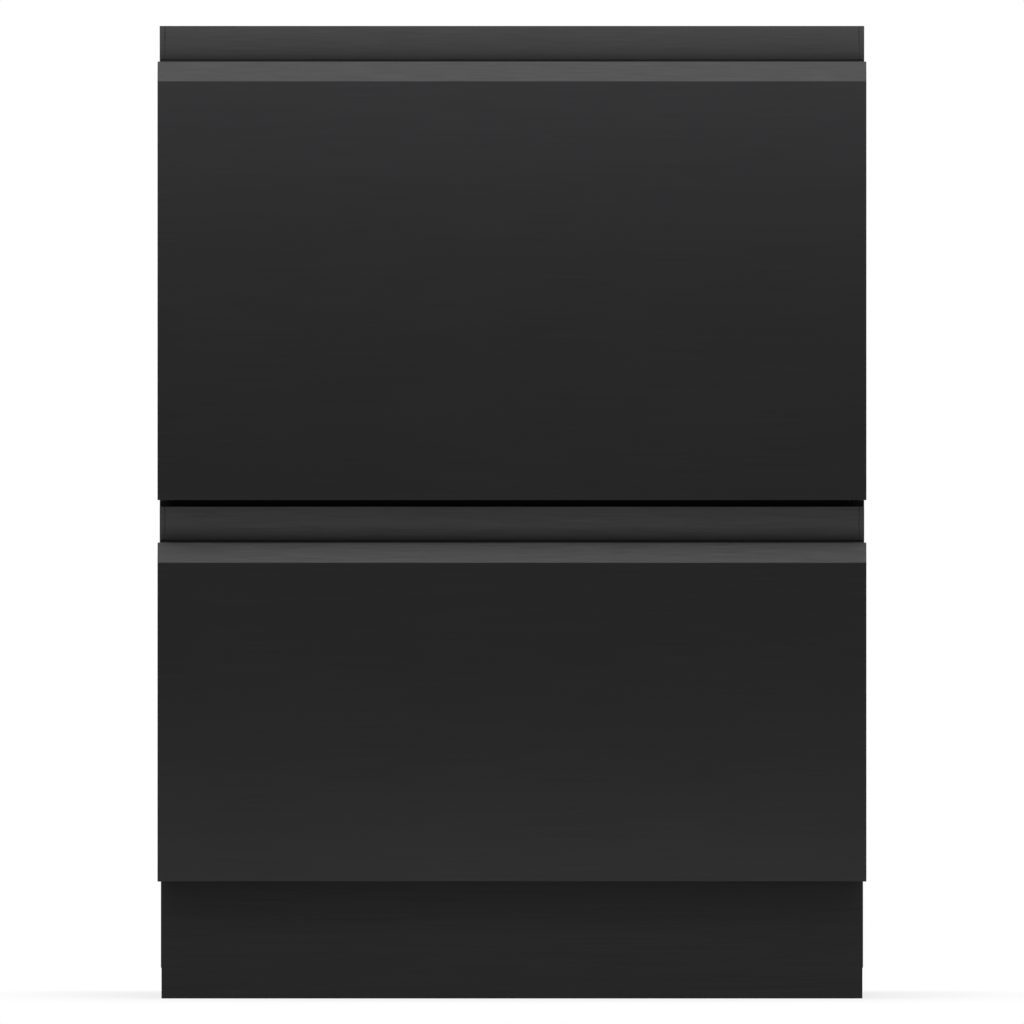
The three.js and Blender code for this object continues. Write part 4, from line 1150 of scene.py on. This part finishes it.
def makeValve():
    x, z, seat, bore, outer = valve["x"], valve["z"], valve["seat"], valve["bore"], valve["thread"]
    near, far = valve["y"]
    body = [
        plate(around(x, 20), (near, far), around(z, 17), 5, soft=1.2),
        slab(around(x, 10), (near + 3, far - 3), (seat, z - 10)),
        *[slab(around(x + s, 0.8), (near + 1, far - 1), (seat, z - 12)) for s in (-14, 14)],
    ]
    y = far - 1
    spout = [(bore, y)]
    while y + valve["pitch"] < backY - 3:
        spout += [(outer - 1.0, y), (outer, y + 0.7), (outer, y + 1.1)]
        y += valve["pitch"]
    spout += [(outer - 1.2, backY - 1.6), (outer - 2, backY - 0.4), (bore + 0.8, backY - 0.4),
              (bore, backY - 1.2), (bore, far - 1)]
    body.append(turned(spout, (x, 0, z), "y", 40))
    standFor(makePiece("inlet_valve_body", body, "pale"), "inlet_valve")
    coilY = (near + far) / 2
    winding = [(0, z + 16), (12, z + 16), (14, z + 18), (14, z + 38), (12.6, z + 40.4), (6, z + 41),
               (0, z + 41)]
    coil = [turned(winding, (x, coilY, 0), steps=40)]
    coil += [slab(around(x + s, 3), (coilY + 12, coilY + 18.5), (z + 27, z + 27.8)) for s in (-5, 5)]
    settle(makePiece("inlet_valve_coil", coil, "blackAbs"), "cabinet", "pale_moulding")
    mesh = rod(bore + 0.1, backY - 9, backY - 8, (x, 0, z), "y")
    settle(makePiece("inlet_valve_strainer", [mesh], "tub"), "cabinet", "pale_moulding")


cabinet = {
    "edge": 0.4,
    "half": 297.0,
    "top": 820.0,
    "frontEdge": -239,
    "railScrewY": (-190, 22, 234),
    "flangeScrewY": (-233, 278),
    "flangeScrewZ": (130, 330, 450, 740),
    "topScrewX": (-288, 288),
    "topScrewY": (-228, 22, 272),
    "backScrewX": (-289, 289),
    "backScrewZ": (66, 250, 430, 620, 806),
    "grommets": {"hose_grommet": (200, 16), "valve_grommet": (-200, 11.8)},  # place, inner radius
    "footSeal": ((-284, 284), (281, 283.6), (51, 56)),
    "gapShadowStrip": (287, 297.9),
    "toeEdge": 0.0011,
    "toeFoot": 0.0001,
}


# the front edges of the side sheets take the near-black paint: painted shade, so that the gap between the
# fronts stays dark
def onFrontEdge(centre, normal):
    return 1 if normal.y < -0.9 and centre.y < cabinet["frontEdge"] else 0


def makeBack():
    places = [(x, backY, z) for x in cabinet["backScrewX"] for z in cabinet["backScrewZ"]]
    sinks = [turned([(0, -1.4), (2.4, -1.4), (4.7, 0.3), (0, 0.3)], at, "y", 24) for at in places]
    dressed("back_panel", "back_sheet", "galvanised", cabinet["edge"], holes=sinks)
    head = [(0, -1.5), (2, -1.5), (4.1, -0.15), (2.0, -0.15), (1.7, -1), (0, -1)]
    heads = [turned(head, at, "y", 24) for at in places]
    settle(makePiece("back_screws", heads, "zinc"), "cabinet", "zinc_steel")
    for name, (x, inner) in cabinet["grommets"].items():
        lips = [(20.9, -2.6), (22.6, -2.6), (23, -1.8), (21, -1.1), (21, -0.3), (20, -0.1), (inner + 1.4, -0.3),
                (inner, -1.2), (inner, -2.2), (inner + 1, -2.6), (20.9, -2.6)]
        ring = turned(lips, (x, backY, valve["z"]), "y", 48)
        settle(makePiece(name, [ring], "rubber"), "cabinet", "seal_rubber")
    strip = makePiece("foot_seal", [slab(*cabinet["footSeal"])], "rubber")  # over the base pan's back edge
    settle(roundEdges(strip, 0.3), "cabinet", "seal_rubber")


def makeCabinet():
    for side, sign in sides:
        x = sign * cabinet["half"]
        heads = [screw((x, y, size["rail"] + z), "x", 4.4, sign * 1.7)
                 for size in units.values() for y in cabinet["railScrewY"] for z in (-12, 12)]
        heads += [screw((x, y, z), "x", 3.8, sign * 1.8)
                  for y in cabinet["flangeScrewY"] for z in cabinet["flangeScrewZ"]]
        dressed(f"{side}_side_panel", f"{side}_side_sheet", ["galvanised", "shadow"], cabinet["edge"],
                pick=onFrontEdge, extra=heads)
    heads = [screw((x, y, cabinet["top"]), "z", 3.8, 1.7)
             for x in cabinet["topScrewX"] for y in cabinet["topScrewY"]]
    dressed("top_panel", "top_sheet", "galvanised", cabinet["edge"], extra=heads)
    makeBack()
    # the middle shelf takes the near-black paint: painted shade behind the gap between the fronts
    dressed("middle_shelf", "middle_shelf_sheet", "shadow", cabinet["edge"])
    toe = dressed("toe_kick", "toe_kick_sheet", "toe", 0.25)
    for corner in toe.data.vertices:  # its foot reaches down to the floor
        if corner.co.z < cabinet["toeEdge"]:
            corner.co.z = cabinet["toeFoot"]
    dressed("base_pan", "base_pan_sheet", "blackAbs", 0.7)
    # near-black strips at the side sheets' front corners: painted shade in the gap between the fronts
    for side, sign in sides:
        x = sorted(sign * end for end in cabinet["gapShadowStrip"])
        trim = plate(x, (392, 446), (-240.8, -237), 0.6, "y", soft=0.2)
        settle(makePiece(f"gap_shadow_strip_{side}", [trim], "shadow"), "cabinet", "black_paint")


for stage in (makeFront, makeControls, makeTub, makeDispenser, makeArm, makeMotor, makeFilter, makeBasket,
              makeRunners, makeLid):
    for unit, size in units.items():
        stage(unit, size)
    print("made by", stage.__name__)
for stage in (makeFeet, makeValve, makeCabinet):
    stage()
    print("made by", stage.__name__)
